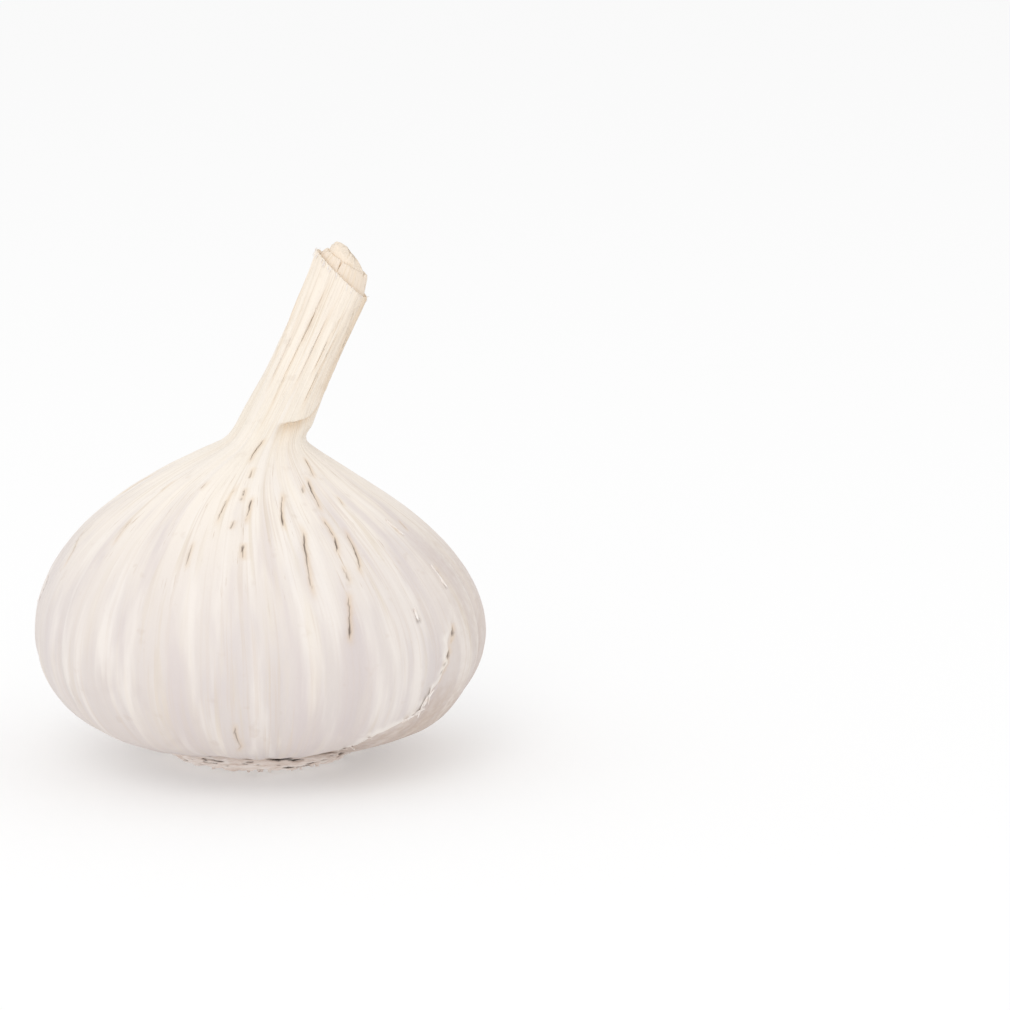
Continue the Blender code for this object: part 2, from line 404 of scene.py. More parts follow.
def fold_up(angle):
    """How far up the skin the lip of the fold is, at each angle."""
    return NECK + along(FOLD, np.degrees(angle)) + 0.05 * np.sin(23 * angle)


# %% Rings: how far apart they lie
SEGMENTS = 400          # quads round the skin
BODY_SPACING = 0.47     # mm from ring to ring over the body
SEAT_SPACING = 1.2      # mm in the hollow over the root plate, which is out of sight


def row_places():
    """Ring places along the skin: close at the neck and at the cut, wider over the body."""
    spacing = np.full_like(UP, BODY_SPACING)
    spacing[UP < FOOT] = SEAT_SPACING
    spacing -= 0.24 * bell((UP - NECK - 3.5) / 4.5)
    spacing -= 0.20 * bell((UP - NECK - CUT) / 1.0)
    tally = np.concatenate(((0.0,), np.cumsum(TABLE_STEP / spacing[1:])))
    count = int(tally[-1]) + 1
    return np.interp(np.linspace(0.0, tally[-1], count), tally, PLACES)


# %% Crowding the grid
def draw_together(value, target, width, pull, weight=1.0):
    """Move values towards a target nearby; pull is how much closer they come at it."""
    gap = value - target
    return value - pull * weight * gap * bell(gap / width)


def skin_grid():
    """Angle and place of every vertex of the outside of the skin."""
    angle, place = np.meshgrid(np.linspace(-math.pi, math.pi, SEGMENTS, endpoint=False), row_places())

    # Rings crowd along the level part of the tear, and along the lip of the fold.
    heights = np.linspace(2.2, 11.0, 45)
    tear = np.interp(np.interp(angle, tear_angle(heights) + 1e-4 * heights, heights), UP, PLACES)
    across = (angle > TEAR_LEVEL_FROM) * smooth((TEAR_LEVEL_TO - angle) / 0.1)
    place = draw_together(place, tear, 2.0, 0.85, across)
    inside_fold = smooth((angle - math.radians(-10)) / 0.25) * smooth((math.radians(110) - angle) / 0.6)
    fold = np.interp(fold_up(angle), UP, PLACES)
    place = draw_together(place, fold, 1.2, 0.70, inside_fold)

    # Meridians crowd along each split, and along the steep part of the tear.
    for split in ALL_SPLITS:
        up = np.interp(place, PLACES, UP)
        radius = np.interp(place, PLACES, SKIN[:, 3])
        side, share = beside(split, angle, up, radius)
        reach = 1.2 / (max(point[1] for point in split[2:]) - min(point[1] for point in split[2:]))
        weight = smooth((share + reach) / reach) * smooth((1 + reach - share) / reach)
        shifted = draw_together(side, 0.0, 1.3, 0.78, weight)
        angle = angle + (shifted - side) / radius
    up = np.interp(place, PLACES, UP)
    weight = smooth((up - 9.5) / 2.0) * smooth((34.0 - up) / 3.0)
    return draw_together(angle, tear_angle(up), 0.05, 0.80, weight), place


ANGLE, PLACE = skin_grid()
print("skin grid:", PLACE.shape[0], "rings of", SEGMENTS)

# %% [markdown]
# ## Cloves, creases and the bare surface
#
# The cloves push the wrapper out, and it is drawn in at the creases between them. Each crease
# is a soft valley that fades out at the foot and at the neck.

# %% Creases between the cloves
CREASES = np.radians((-57, -34, -12, 9, 30, 56, 81, 106, 131, 157, 184, 209, 234, 259, 282, 303))
CREASE_DEPTHS = (0.7, 0.5, 0.4, 0.5, 0.55, 0.6, 0.9, 0.4,
                 0.8, 0.5, 0.95, 0.45, 0.75, 0.5, 1.0, 0.6)     # mm, one for each crease


def crease(angle):
    """Depth of the valley: 0 on the back of a clove, and deepest in the crease beside it."""
    edges = np.append(CREASES, CREASES[0] + TAU)
    depths = np.append(CREASE_DEPTHS, CREASE_DEPTHS[0])
    turn = (angle - CREASES[0]) % TAU + CREASES[0]
    which = np.clip(np.searchsorted(edges, turn, "right") - 1, 0, len(CREASES) - 1)
    share = (turn - edges[which]) / (edges[which + 1] - edges[which])
    return np.abs(2.0 * share - 1.0) ** 3 * np.interp(turn, edges, depths)


def skin_point(angle, place):
    """The bare skin, before any small feature: x, y and z for each angle and place."""
    x, z, tilt, width, depth, slant, up = (np.interp(place, PLACES, column) for column in SKIN.T)
    draw = smooth((up - FOOT) / 4.0) * smooth((NECK - up) / 34.0) * crease(angle)
    side = (width - draw) * np.sin(angle)
    return np.stack((x + side * (np.cos(tilt) - np.sin(tilt) * slant),
                     -(depth - draw) * np.cos(angle),
                     z - side * (np.sin(tilt) + np.cos(tilt) * slant)), axis=-1)


def skin_outward(angle, place):
    """Unit vectors that point straight out of the bare skin."""
    step = 0.02
    round_it = skin_point(angle + step, place) - skin_point(angle - step, place)
    up_it = skin_point(angle, place + 0.3) - skin_point(angle, place - 0.3)
    out = np.cross(round_it, up_it)
    return out / np.maximum(np.linalg.norm(out, axis=-1, keepdims=True), 1e-9)


BARE = skin_point(ANGLE, PLACE)
OUTWARD = skin_outward(ANGLE, PLACE)
UPS = np.interp(PLACE, PLACES, UP)
RADII = np.interp(PLACE, PLACES, SKIN[:, 3])
print("girth of the bare skin:", round(BARE[..., 0].max() - BARE[..., 0].min(), 1), "mm")

# %% [markdown]
# ## Splits, the torn edge and the fold
#
# A dry leaf splits along its veins. The split gapes a little in the middle, its lips stand up,
# and the sap has stained the leaf beside it. Each feature adds to `push`, the distance that a
# vertex moves outwards, and marks the vertices for the finish: `split` for painted shade in the
# opening, `stain` for the tan edge, `bare` for the inner skin below the tear and painted shade
# round the right side, `pale` for the lifted white edge above it, and `hollow` for the tan
# fibres and painted shade under the fold.

# %% Splits: each wavers, gapes most somewhere near its middle, and is stained past both ends
LIP_HEIGHT = 0.05
SPLIT_DEPTH = 0.17
push = np.zeros_like(ANGLE)
split_shade_mark = np.zeros_like(ANGLE)
stain_mark = np.zeros_like(ANGLE)
for number, split in enumerate(ALL_SPLITS):
    width, dark = split[:2]
    side, share = beside(split, ANGLE, UPS, RADII)
    side = side + 0.1 * width * np.sin(UPS * 3.3 + number)
    side = side + 0.07 * width * np.sin(UPS * 9.0 + 2 * number)
    inside = smooth((share + 0.06) / 0.16) * smooth((1.06 - share) / 0.16)
    widest = 0.5 + 0.3 * math.sin(5.0 * number)
    gape = inside * (0.35 + 0.65 * bell((share - widest) / 0.28))
    half = 0.03 + 0.14 * width * gape
    opening = smooth(1.7 - np.abs(side) / half) * inside
    lips = bell((np.abs(side) - half - 0.08) / 0.14) * gape
    push += LIP_HEIGHT * lips - SPLIT_DEPTH * opening * gape
    # The dark of each opening is painted shade.
    split_shade_mark = np.maximum(split_shade_mark, opening * dark * (0.50 + 0.45 * gape))
    tail = smooth((share + 0.30) / 0.4) * smooth((1.25 - share) / 0.35)
    stain = bell((side - 0.10) / (0.22 + 0.5 * width)) * tail * (0.26 + 0.48 * dark)
    stain_mark = np.maximum(stain_mark, stain)
print("deepest point of a split:", round(push.min(), 2), "mm")

# %% Torn outer skin at the lower right: a step down to the inner skin, which is fresh near the foot
TEAR_STEP = 0.36
slope = (tear_angle(UPS + 0.2) - tear_angle(UPS - 0.2)) / 0.4
past_tear = (ANGLE - tear_angle(UPS)) * RADII / np.sqrt(1.0 + np.square(slope * RADII))
before_end = smooth((TEAR_END + 0.02 * np.sin(UPS * 2.3) - ANGLE) / 0.03)
fresh = 1.0 - 0.85 * smooth((UPS - 8.0) / 9.0)
torn = smooth(past_tear / 0.12 + 0.5) * before_end
push -= TEAR_STEP * torn * fresh * smooth((30.0 - UPS) / 10.0)
edge_curl = bell((past_tear + 0.30) / 0.40) * smooth((22.0 - UPS) / 8.0)
push += 0.12 * edge_curl * (1.0 - torn)
bare_and_shade = torn * fresh * (0.55 + 0.45 * smooth(past_tear / 2.5))

# Round to the right, away from the lamp, the skin is painted in the bare skin's tan as painted shade,
# and the clove there bulges past the plate.
right_side_shade = smooth((ANGLE - math.radians(50)) / 0.5) * smooth((math.radians(150) - ANGLE) / 0.5)
right_side_shade *= smooth((38.0 - UPS) / 12.0)
bare_and_shade = np.maximum(bare_and_shade, 0.50 * right_side_shade)
lobe = bell((ANGLE - math.radians(72)) / 0.55) * bell((UPS - 7.0) / 6.0)
push += 0.45 * lobe * torn
notch = bell((ANGLE - math.radians(35)) / 0.11) * bell((UPS - 3.2) / 2.2)
push -= 0.9 * notch

# The edge itself is stained on the inner side and pale on the lifted side.
edge_stain = 0.5 * bell((past_tear - 0.15) / 0.22) * before_end * smooth((24.0 - UPS) / 8.0)
stain_mark = np.maximum(stain_mark, edge_stain)
pale_mark = bell((past_tear + 0.35) / 0.45) * (1.0 - torn) * smooth((24.0 - UPS) / 6.0)
pale_mark *= (ANGLE < TEAR_END)

# %% Fold at the foot of the stalk: a lip that stands out, and a fibrous hollow under it
above_fold = PLACE - np.interp(fold_up(ANGLE), UP, PLACES)
turn_in = smooth((ANGLE - math.radians(1)) / 0.30)
lip = np.where(above_fold > 0.0, bell(above_fold / 1.5), smooth(1.0 + above_fold / 0.6))
lip *= turn_in * smooth((math.radians(95) - ANGLE) / 0.8)
under = smooth(-above_fold / 0.7) * bell(np.minimum(above_fold, 0.0) / 2.6)
under *= turn_in * smooth((math.radians(120) - ANGLE) / 0.8)
push += 0.24 * lip - 0.85 * under * (1.0 - 0.55 * smooth((ANGLE - math.radians(45)) / 0.7))
fibrous = 0.5 + 0.5 * np.sin(38 * ANGLE + 1.5 * np.sin(11 * ANGLE) + 0.3 * UPS)
push -= 0.10 * under * fibrous
# Under the lip the tan is partly the fibres' own colour and partly painted shade.
hollow_fibre_and_shade_mark = under * (0.60 + 0.45 * fibrous)

# %% The bundle of skin that runs down from the stalk, and the stained strands on its right side
cord_line = bell((ANGLE - math.radians(-2)) / 0.16)
cord_run = smooth((NECK + 5.0 - UPS) / 2.0) * smooth((UPS - 39.5) / 2.5)
push += 0.30 * cord_line * cord_run
push -= 0.55 * bell((ANGLE - math.pi / 2) / 0.6) * bell((UPS - NECK) / 2.5)
stalk_side = bell((ANGLE - math.radians(74)) / 0.42) * smooth((UPS - NECK - 5.0) / 6.0)
strands = 0.5 + 0.5 * np.sin(52 * ANGLE + 0.15 * UPS + 1.5 * np.sin(17 * ANGLE))
push -= 0.08 * stalk_side * strands
stain_mark = np.maximum(stain_mark, stalk_side * (0.40 + 0.60 * strands))

# %% The foot of the skin is drawn up: at the front, at the back, and on the left
FOOT_LIFT = 1.3
LEFT_LIFT = 1.05


def foot_lift(angle):
    """Millimetres that the foot of the skin, and the cork under it, stand higher than a level rim."""
    front_and_back = FOOT_LIFT * bell(np.arcsin(np.abs(np.sin(angle))) / math.radians(58))
    return front_and_back + LEFT_LIFT * bell((angle + math.radians(75)) / 0.55)


# %% Small marks: a pit, a nick in the side, a puckered foot, and a cut edge that flares at the left
def spot(degrees, up, size):
    """A round spot on the skin, 1 in its middle."""
    turn = (ANGLE - math.radians(degrees)) * RADII
    return bell(np.hypot(turn, UPS - up) / size)


push -= 0.35 * spot(49, 22.9, 0.42)
# The pit is painted dark: painted shade.
split_shade_mark = np.maximum(split_shade_mark, 0.75 * spot(49, 22.9, 0.34))
push -= 0.30 * spot(-83, 23.9, 0.6)
pucker = 0.5 * np.sin(9 * ANGLE + 0.6) + 0.35 * np.sin(17 * ANGLE + 2.0) + 0.3 * np.sin(41 * ANGLE)
push += 0.35 * pucker * bell((UPS - FOOT) / 1.6)
flare = bell((ANGLE - math.radians(-80)) / 0.5) * bell((UPS - NECK - CUT) / 1.6)
push += 0.10 * flare
print("skin moves in and out by", round(push.min(), 2), "to", round(push.max(), 2), "mm")

# %% [markdown]
# ## From the grid to a mesh
#
# The outside ends at the cut. From there the leaf has its wall, and the surface runs down
# inside it to the floor of the socket, so that the piece is closed. `grain` is a direction
# round the bulb with the distance up the skin: streaks that follow the veins read it.

# %% Lofting a grid of points
def loft(name, grid, marks, closed_tube=False):
    """A mesh from rings of points in mm, with a row of marks for each vertex."""
    rows, columns = grid.shape[:2]
    at = np.arange(rows * columns).reshape(rows, columns)
    low, high = (at, np.roll(at, -1, axis=0)) if closed_tube else (at[:-1], at[1:])
    faces = np.stack((low, np.roll(low, -1, axis=1), np.roll(high, -1, axis=1), high), axis=-1)
    faces = faces.reshape(-1, 4).tolist()
    if not closed_tube:
        faces.append(at[0][::-1].tolist())
        faces.append(at[-1].tolist())
    mesh = bpy.data.meshes.new(name)
    mesh.from_pydata((grid.reshape(-1, 3) * MM).tolist(), [], faces)
    mesh.shade_smooth()
    for mark, values in marks.items():
        vector = values.ndim == 3
        layer = mesh.attributes.new(mark, "FLOAT_VECTOR" if vector else "FLOAT", "POINT")
        layer.data.foreach_set("vector" if vector else "value", values.astype(np.float32).ravel())
    return show(name, mesh)


def ring_grid(rings, angle):
    """Points of plain rings, one row for each."""
    x, z, tilt, width, depth, slant = (column[:, None] for column in rings.T[:6])
    side = width * np.sin(angle)[None, :]
    return np.stack((x + side * (np.cos(tilt) - np.sin(tilt) * slant),
                     -depth * np.cos(angle)[None, :] + 0.0 * x,
                     z - side * (np.sin(tilt) + np.cos(tilt) * slant)), axis=-1)


def grain_of(angle, travel):
    """Direction round the stem, and the distance along it, in head radii."""
    angle, travel = np.broadcast_arrays(angle, travel)
    return np.stack((np.sin(angle), -np.cos(angle), travel / HEAD_RADIUS), axis=-1)


# %% The inside wall of the outer leaf
rim = ring_grid(layer_rings((CUT, CUT - 0.25, CUT - 3.0, STALK_LENGTH - SOCKET_DEPTH),
                            (0.18, OUTER_WALL, OUTER_WALL, OUTER_WALL)), ANGLE[-1])
rim[0, :, 2] += 0.10
outside = BARE + OUTWARD * push[..., None]
outside[..., 2] += foot_lift(ANGLE) * bell((UPS - FOOT) / 3.5)
ragged = 0.05 * np.sin(37 * ANGLE[-1]) + 0.04 * np.sin(83 * ANGLE[-1] + 1.0)
top = bell((UPS - NECK - CUT) / 0.5)
outside[..., 2] += top * ragged[None, :]
rim[:2, :, 2] += ragged[None, :]
skin_grid_mm = np.concatenate((outside, rim))
inner_rows = len(rim)


def lengthen(values, fill):
    """The marks of the outside, with one value for all of the inside wall."""
    return np.concatenate((values, np.full((inner_rows, SEGMENTS), float(fill))))


# How strongly the leaf is gathered: most at the neck, and not at all at the foot.
gather = 0.30 + 0.45 * bell((UPS - NECK + 2.0) / 4.5) - 0.05 * smooth((UPS - NECK) / 2.0)
gather *= smooth((UPS - FOOT) / 1.0)
all_angles = np.concatenate((ANGLE, np.repeat(ANGLE[-1:], inner_rows, axis=0)))
all_places = np.concatenate((PLACE, PLACE[-1:] + np.arange(1, inner_rows + 1)[:, None] * 0.5))
marks = {
    "grain": grain_of(all_angles, all_places),
    "outward": np.concatenate((OUTWARD, np.zeros((inner_rows, SEGMENTS, 3)))),
    "gather": lengthen(gather, 0.0),
    "up": lengthen(UPS, NECK + STALK_LENGTH),
    "split": lengthen(split_shade_mark, 0.0),
    "stain": lengthen(stain_mark, 0.4),
    "bare": lengthen(bare_and_shade, 0.0),
    "pale": lengthen(pale_mark, 0.0),
    "hollow": lengthen(hollow_fibre_and_shade_mark, 0.2),
}
wrapper = loft("wrapper_skin", skin_grid_mm, marks)
print("wrapper skin:", len(wrapper.data.polygons), "faces")

# %% [markdown]
# ## Relief of a dried leaf, in Geometry Nodes
#
# Drying leaves ribs along the veins and soft lumps between them. They follow a rule, so a
# Geometry Nodes tree makes them: noise that is stretched along the grain pushes each vertex
# along its `outward` direction. The same tree serves every leaf of the stalk.

# %% Building a tree with named inputs
def new_tree(name, inputs):
    """An empty Geometry Nodes tree with a geometry going in and out and named inputs."""
    tree = bpy.data.node_groups.new(name, "GeometryNodeTree")
    tree.interface.new_socket("Geometry", in_out="INPUT", socket_type="NodeSocketGeometry")
    for title, kind in inputs.items():
        tree.interface.new_socket(title, in_out="INPUT", socket_type="NodeSocket" + kind)
    tree.interface.new_socket("Geometry", in_out="OUTPUT", socket_type="NodeSocketGeometry")
    return tree, tree.nodes.new("NodeGroupInput").outputs


def end_tree(tree, geometry, material):
    """Every tree ends the same way: real geometry that carries its finish."""
    real = add(tree, "GeometryNodeRealizeInstances", {"Geometry": geometry})
    painted = add(tree, "GeometryNodeSetMaterial", {"Geometry": real.outputs[0], "Material": material})
    add(tree, "NodeGroupOutput", {"Geometry": painted.outputs[0]})


def relief_tree():
    tree, given = new_tree("dried_leaf_relief", {
        "Rib Spacing": "Float", "Rib Height": "Float", "Lump Size": "Float",
        "Lump Height": "Float", "Seed": "Float", "Material": "Material"})
    grain = add(tree, "GeometryNodeInputNamedAttribute", {"Name": "grain"}, data_type="FLOAT_VECTOR")
    outward = add(tree, "GeometryNodeInputNamedAttribute", {"Name": "outward"}, data_type="FLOAT_VECTOR")
    strength = add(tree, "GeometryNodeInputNamedAttribute", {"Name": "gather"}, data_type="FLOAT")
    moves = []
    kinds = (("Rib Spacing", "Rib Height", 0.10), ("Lump Size", "Lump Height", 0.60))
    for size, height, stretch in kinds:
        drawn = add(tree, "ShaderNodeVectorMath", {0: grain.outputs[0], 1: (1.0, 1.0, stretch)},
                    operation="MULTIPLY")
        scale = add(tree, "ShaderNodeMath", {0: 1.0, 1: given[size]}, operation="DIVIDE")
        noise = add(tree, "ShaderNodeTexNoise", {"Vector": drawn.outputs[0], "W": given["Seed"],
                    "Scale": scale.outputs[0], "Detail": 2.5, "Roughness": 0.6}, noise_dimensions="4D")
        centred = add(tree, "ShaderNodeMath", {0: noise.outputs[0], 1: -0.5}, operation="ADD")
        moves.append(add(tree, "ShaderNodeMath", {0: centred.outputs[0], 1: given[height]},
                         operation="MULTIPLY"))
    ribs = add(tree, "ShaderNodeMath", {0: moves[0].outputs[0], 1: strength.outputs[0]},
               operation="MULTIPLY")
    both = add(tree, "ShaderNodeMath", {0: ribs.outputs[0], 1: moves[1].outputs[0]})
    offset = add(tree, "ShaderNodeVectorMath", {0: outward.outputs[0], "Scale": both.outputs[0]},
                 operation="SCALE")
    moved = add(tree, "GeometryNodeSetPosition", {"Geometry": given["Geometry"],
                "Offset": offset.outputs[0]})
    end_tree(tree, moved.outputs[0], given["Material"])
    return tree


# %% Running a tree and keeping its result as a plain mesh
def grow(thing, tree, **inputs):
    """Run a tree on an object with these inputs, and keep only the mesh that comes out."""
    modifier = thing.modifiers.new(tree.name, "NODES")
    modifier.node_group = tree
    for item in tree.interface.items_tree:
        if item.in_out == "INPUT" and item.name in inputs:
            modifier[item.identifier] = inputs[item.name]
    view = bpy.context.evaluated_depsgraph_get()
    plain = bpy.data.meshes.new_from_object(thing.evaluated_get(view), depsgraph=view,
                                            preserve_all_data_layers=True)
    thing.modifiers.clear()
    thing.data = plain
    plain.shade_smooth()
    return thing


# %% [markdown]
# ## Finish: dried wrapper leaf
#
# The wrapper is dead leaf, thin as tissue, cured in the sun. It is off-white with mauve-grey
# bands where the cloves' own skins shade it, cream towards the neck, greyer and darker towards
# the foot, partly as painted shade, and tan where it split. Its veins show as fine yellowish
# lines. It is satin: dry, with a faint shine along the fibres.

# %% Starting a finish, and painting over it
def new_finish(name, roughness, specular=0.5):
    """A material with its gloss set on the shader's own sockets."""
    made = bpy.data.materials.new(name)
    made.use_nodes = True
    shader = made.node_tree.nodes["Principled BSDF"]
    shader.inputs["Roughness"].default_value = roughness
    shader.inputs["Specular IOR Level"].default_value = specular
    return made, made.node_tree, shader


def paint_over(tree, shown, layers):
    """Paint colours over the one shown, one after another, each through its own mask."""
    for mask, code in layers:
        mixed = add(tree, "ShaderNodeMix", {"Factor_Float": mask, "A_Color": shown,
                    "B_Color": colour(code)}, data_type="RGBA")
        shown = socket(mixed.outputs, "Result_Color")
    return shown


# %% A dried leaf: a colour that changes with height, streaks along the grain, and a fibrous bump
LEAF_IOR = 1.45         # dry plant fibre
PATCH_SIZE = 9.0        # veins show in patches this many mm across, and fade out between them
PATCHY_BELOW = 3.0      # only streaks narrower than this many mm come and go
FIBRE_SPACING = 0.45    # mm; real fibres lie closer, but finer ones wouldn't show


def streaked_leaf(name, base, streaks, roughness, fibre_bump, more_layers=None):
    """base holds (height, colour), and fibre_bump is in mm."""
    made, tree, shader = new_finish(name, roughness)
    shader.inputs["IOR"].default_value = LEAF_IOR
    grain = add(tree, "ShaderNodeAttribute", attribute_name="grain").outputs["Vector"]
    up = add(tree, "ShaderNodeAttribute", attribute_name="up").outputs["Fac"]
    share = add(tree, "ShaderNodeMapRange", {"Value": up, "From Max": NECK + STALK_LENGTH})
    ramp = add(tree, "ShaderNodeValToRGB", {"Fac": share.outputs[0]})
    while len(ramp.color_ramp.elements) < len(base):
        ramp.color_ramp.elements.new(0.5)
    for element, (height, code) in zip(ramp.color_ramp.elements, base):
        element.position = height / (NECK + STALK_LENGTH)
        element.color = colour(code)
    drawn = add(tree, "ShaderNodeMapping", {"Vector": grain, "Scale": (1.0, 1.0, 0.5)})
    noise = add(tree, "ShaderNodeTexNoise", {"Vector": drawn.outputs[0],
                "Scale": HEAD_RADIUS / PATCH_SIZE})
    patches = add(tree, "ShaderNodeMapRange", {"Value": noise.outputs[0], "From Min": 0.40,
                  "From Max": 0.62, "To Min": 0.35}, interpolation_type="SMOOTHSTEP")
    layers = []
    for number, (size, stretch, low, high, strength, code, span) in enumerate(streaks):
        drawn = add(tree, "ShaderNodeMapping", {"Vector": grain, "Scale": (1.0, 1.0, stretch)})
        noise = add(tree, "ShaderNodeTexNoise", {"Vector": drawn.outputs[0], "W": 3.7 * number,
                    "Scale": HEAD_RADIUS / size, "Detail": 3.0, "Roughness": 0.55},
                    noise_dimensions="4D")
        mask = add(tree, "ShaderNodeMapRange", {"Value": noise.outputs[0], "From Min": low,
                   "From Max": high, "To Max": strength}, interpolation_type="SMOOTHSTEP")
        zone = add(tree, "ShaderNodeMapRange", {"Value": up, "From Min": span[0],
                   "From Max": span[1]}, interpolation_type="SMOOTHSTEP")
        factor = add(tree, "ShaderNodeMath", {0: mask.outputs[0], 1: zone.outputs[0]},
                     operation="MULTIPLY")
        if size < PATCHY_BELOW:
            factor = add(tree, "ShaderNodeMath", {0: factor.outputs[0], 1: patches.outputs[0]},
                         operation="MULTIPLY")
        layers.append((factor.outputs[0], code))
    if more_layers:
        layers += more_layers(tree)
    shown = paint_over(tree, ramp.outputs["Color"], layers)
    drawn = add(tree, "ShaderNodeMapping", {"Vector": grain, "Scale": (1.0, 1.0, 0.04)})
    fibres = add(tree, "ShaderNodeTexNoise", {"Vector": drawn.outputs[0], "Detail": 3.0,
                 "Scale": HEAD_RADIUS / FIBRE_SPACING, "Roughness": 0.6})
    bump = add(tree, "ShaderNodeBump", {"Height": fibres.outputs[0], "Strength": 1.0,
               "Distance": fibre_bump * MM})
    tree.links.new(shown, shader.inputs["Base Color"])
    tree.links.new(bump.outputs[0], shader.inputs["Normal"])
    return made


# %% Where streaks lie, as the heights in mm between which they fade in
ANYWHERE = (-2.0, -1.0)
HEAD_ONLY = (44.0, 34.0)
LOW_ONLY = (26.0, 8.0)
STALK_ONLY = (40.0, 46.0)
SHOULDERS = (22.0, 34.0)

# %% Colours and streaks of the wrapper
# The colours darken towards the foot: partly the greyer skin there, partly painted shade under the head.
WRAPPER_BASE = ((0, "#d8cdc9"), (6, "#dcd2cd"), (12, "#dbd2ce"), (18, "#ddd4cf"), (28, "#e7ded7"),
                (38, "#f6ede2"), (46, "#f3eadd"), (57, "#f9efe2"), (68, "#f9eee0"))
# Each streak is (size across in mm, stretch, threshold from, to, strength, colour, where). The real
# veins and fibres are finer, and are drawn as coarse as they need to be to show.
WRAPPER_STREAKS = (
    (8.0, 0.45, 0.46, 0.66, 0.40, "#cfc6c8", HEAD_ONLY),      # broad mauve-grey shade
    (4.6, 0.16, 0.50, 0.64, 0.38, "#d2c6c6", HEAD_ONLY),      # mauve bands
    (3.8, 0.14, 0.48, 0.66, 0.60, "#f4ede6", ANYWHERE),       # pale bands
    (2.2, 0.10, 0.52, 0.68, 0.42, "#e6dac8", ANYWHERE),       # cream streaks
    (1.2, 0.06, 0.56, 0.66, 0.40, "#dacbb6", ANYWHERE),       # veins
    (0.5, 0.03, 0.52, 0.65, 0.34, "#d6c6b8", ANYWHERE),       # fibres
    (0.35, 0.02, 0.52, 0.64, 0.42, "#d9c0a0", STALK_ONLY),    # veins of the stalk
    (0.45, 0.10, 0.63, 0.70, 0.60, "#bfa88f", SHOULDERS),     # short tan dashes where it is gathered
    (7.0, 0.80, 0.56, 0.74, 0.35, "#c4b6af", LOW_ONLY),       # weathered patches near the foot
)


# %% The marks of the wrapper as layers of colour
WRAPPER_MARKS = (
    # bare: the tan of the inner skin below the tear, and painted shade round the right side.
    ("bare", 0.74, "#bda899"),
    # hollow: the tan fibres under the fold, partly painted shade.
    ("hollow", 0.46, "#e0c096"),
    ("stain", 0.60, "#dcbd94"),
    ("pale", 0.75, "#f3ede6"),
)
SPECK_SPACING = 2.381    # mm
MOTTLE_SIZE = 1.111      # mm


def wrapper_layers(tree):
    """Specks all over, then the marks, with the bare inner skin mottled, and the painted shade of the
    splits last.
    """
    place = add(tree, "ShaderNodeTexCoord").outputs["Object"]
    speck = add(tree, "ShaderNodeTexNoise", {"Vector": place, "Scale": 1.0 / (SPECK_SPACING * MM),
                "Detail": 2.0})
    specks = add(tree, "ShaderNodeMapRange", {"Value": speck.outputs[0], "From Min": 0.66,
                 "From Max": 0.74, "To Max": 0.14})
    mottle = add(tree, "ShaderNodeTexNoise", {"Vector": place, "Scale": 1.0 / (MOTTLE_SIZE * MM),
                 "Detail": 3.0})
    uneven = add(tree, "ShaderNodeMapRange", {"Value": mottle.outputs[0], "From Min": 0.35,
                 "From Max": 0.60, "To Min": 0.55})
    layers = [(specks.outputs[0], "#bfa893")]
    for mark, strength, code in WRAPPER_MARKS:
        read = add(tree, "ShaderNodeAttribute", attribute_name=mark).outputs["Fac"]
        mask = add(tree, "ShaderNodeMath", {0: read, 1: strength}, operation="MULTIPLY")
        if mark == "bare":
            mask = add(tree, "ShaderNodeMath", {0: mask.outputs[0], 1: uneven.outputs[0]},
                       operation="MULTIPLY")
        layers.append((mask.outputs[0], code))
    # Last the splits, painted dark as shade in their openings.
    read = add(tree, "ShaderNodeAttribute", attribute_name="split").outputs["Fac"]
    dark = add(tree, "ShaderNodeMapRange", {"Value": read, "From Min": 0.08, "From Max": 0.9})
    layers.append((dark.outputs[0], "#7c6e64"))
    return layers


# %% Finish and relief of the wrapper
WRAPPER_FINISH = streaked_leaf("dried_wrapper_leaf", WRAPPER_BASE, WRAPPER_STREAKS, roughness=0.5,
                               fibre_bump=0.05, more_layers=wrapper_layers)
RELIEF = relief_tree()
grow(wrapper, RELIEF, **{"Rib Spacing": 0.07, "Rib Height": 0.45 * MM, "Lump Size": 0.40,
                         "Lump Height": 0.9 * MM, "Seed": 2.0, "Material": WRAPPER_FINISH})

# %% [markdown]
# ## The leaves inside the cut
#
# A knife went through the stalk at a slant, and the inner leaves were drawn out a little as it
# cut. Each is a ragged tube or plug, made of rings like the stalk, with its own uneven top. The
# light never reached them, so they kept a warmer cream, and they are duller than the wrapper:
# the leaf is lightly fibrous, and the pith of the core has no shine at all.

# %% Inner leaf
LAYER_SEGMENTS = 180
INNER_OUTSET = OUTER_WALL + FIT_GAP
INNER_WALL = 0.45
INNER_PROUD = 1.5       # mm that it stands above the cut
INNER_DRAW_IN = 0.55    # mm that it narrows by up to its top
TOP_RINGS = 8


def layer_grid(steps, lengths, insets, rise):
    """Rings of an inner leaf whose upper part rises unevenly round the stalk."""
    angle = np.linspace(-math.pi, math.pi, LAYER_SEGMENTS, endpoint=False)
    grid = ring_grid(layer_rings(lengths, insets), angle)
    lean = np.array((math.sin(STALK_LEAN), 0.0, math.cos(STALK_LEAN)))
    return angle, grid + (np.array(steps)[:, None] * rise(angle)[None, :])[..., None] * lean


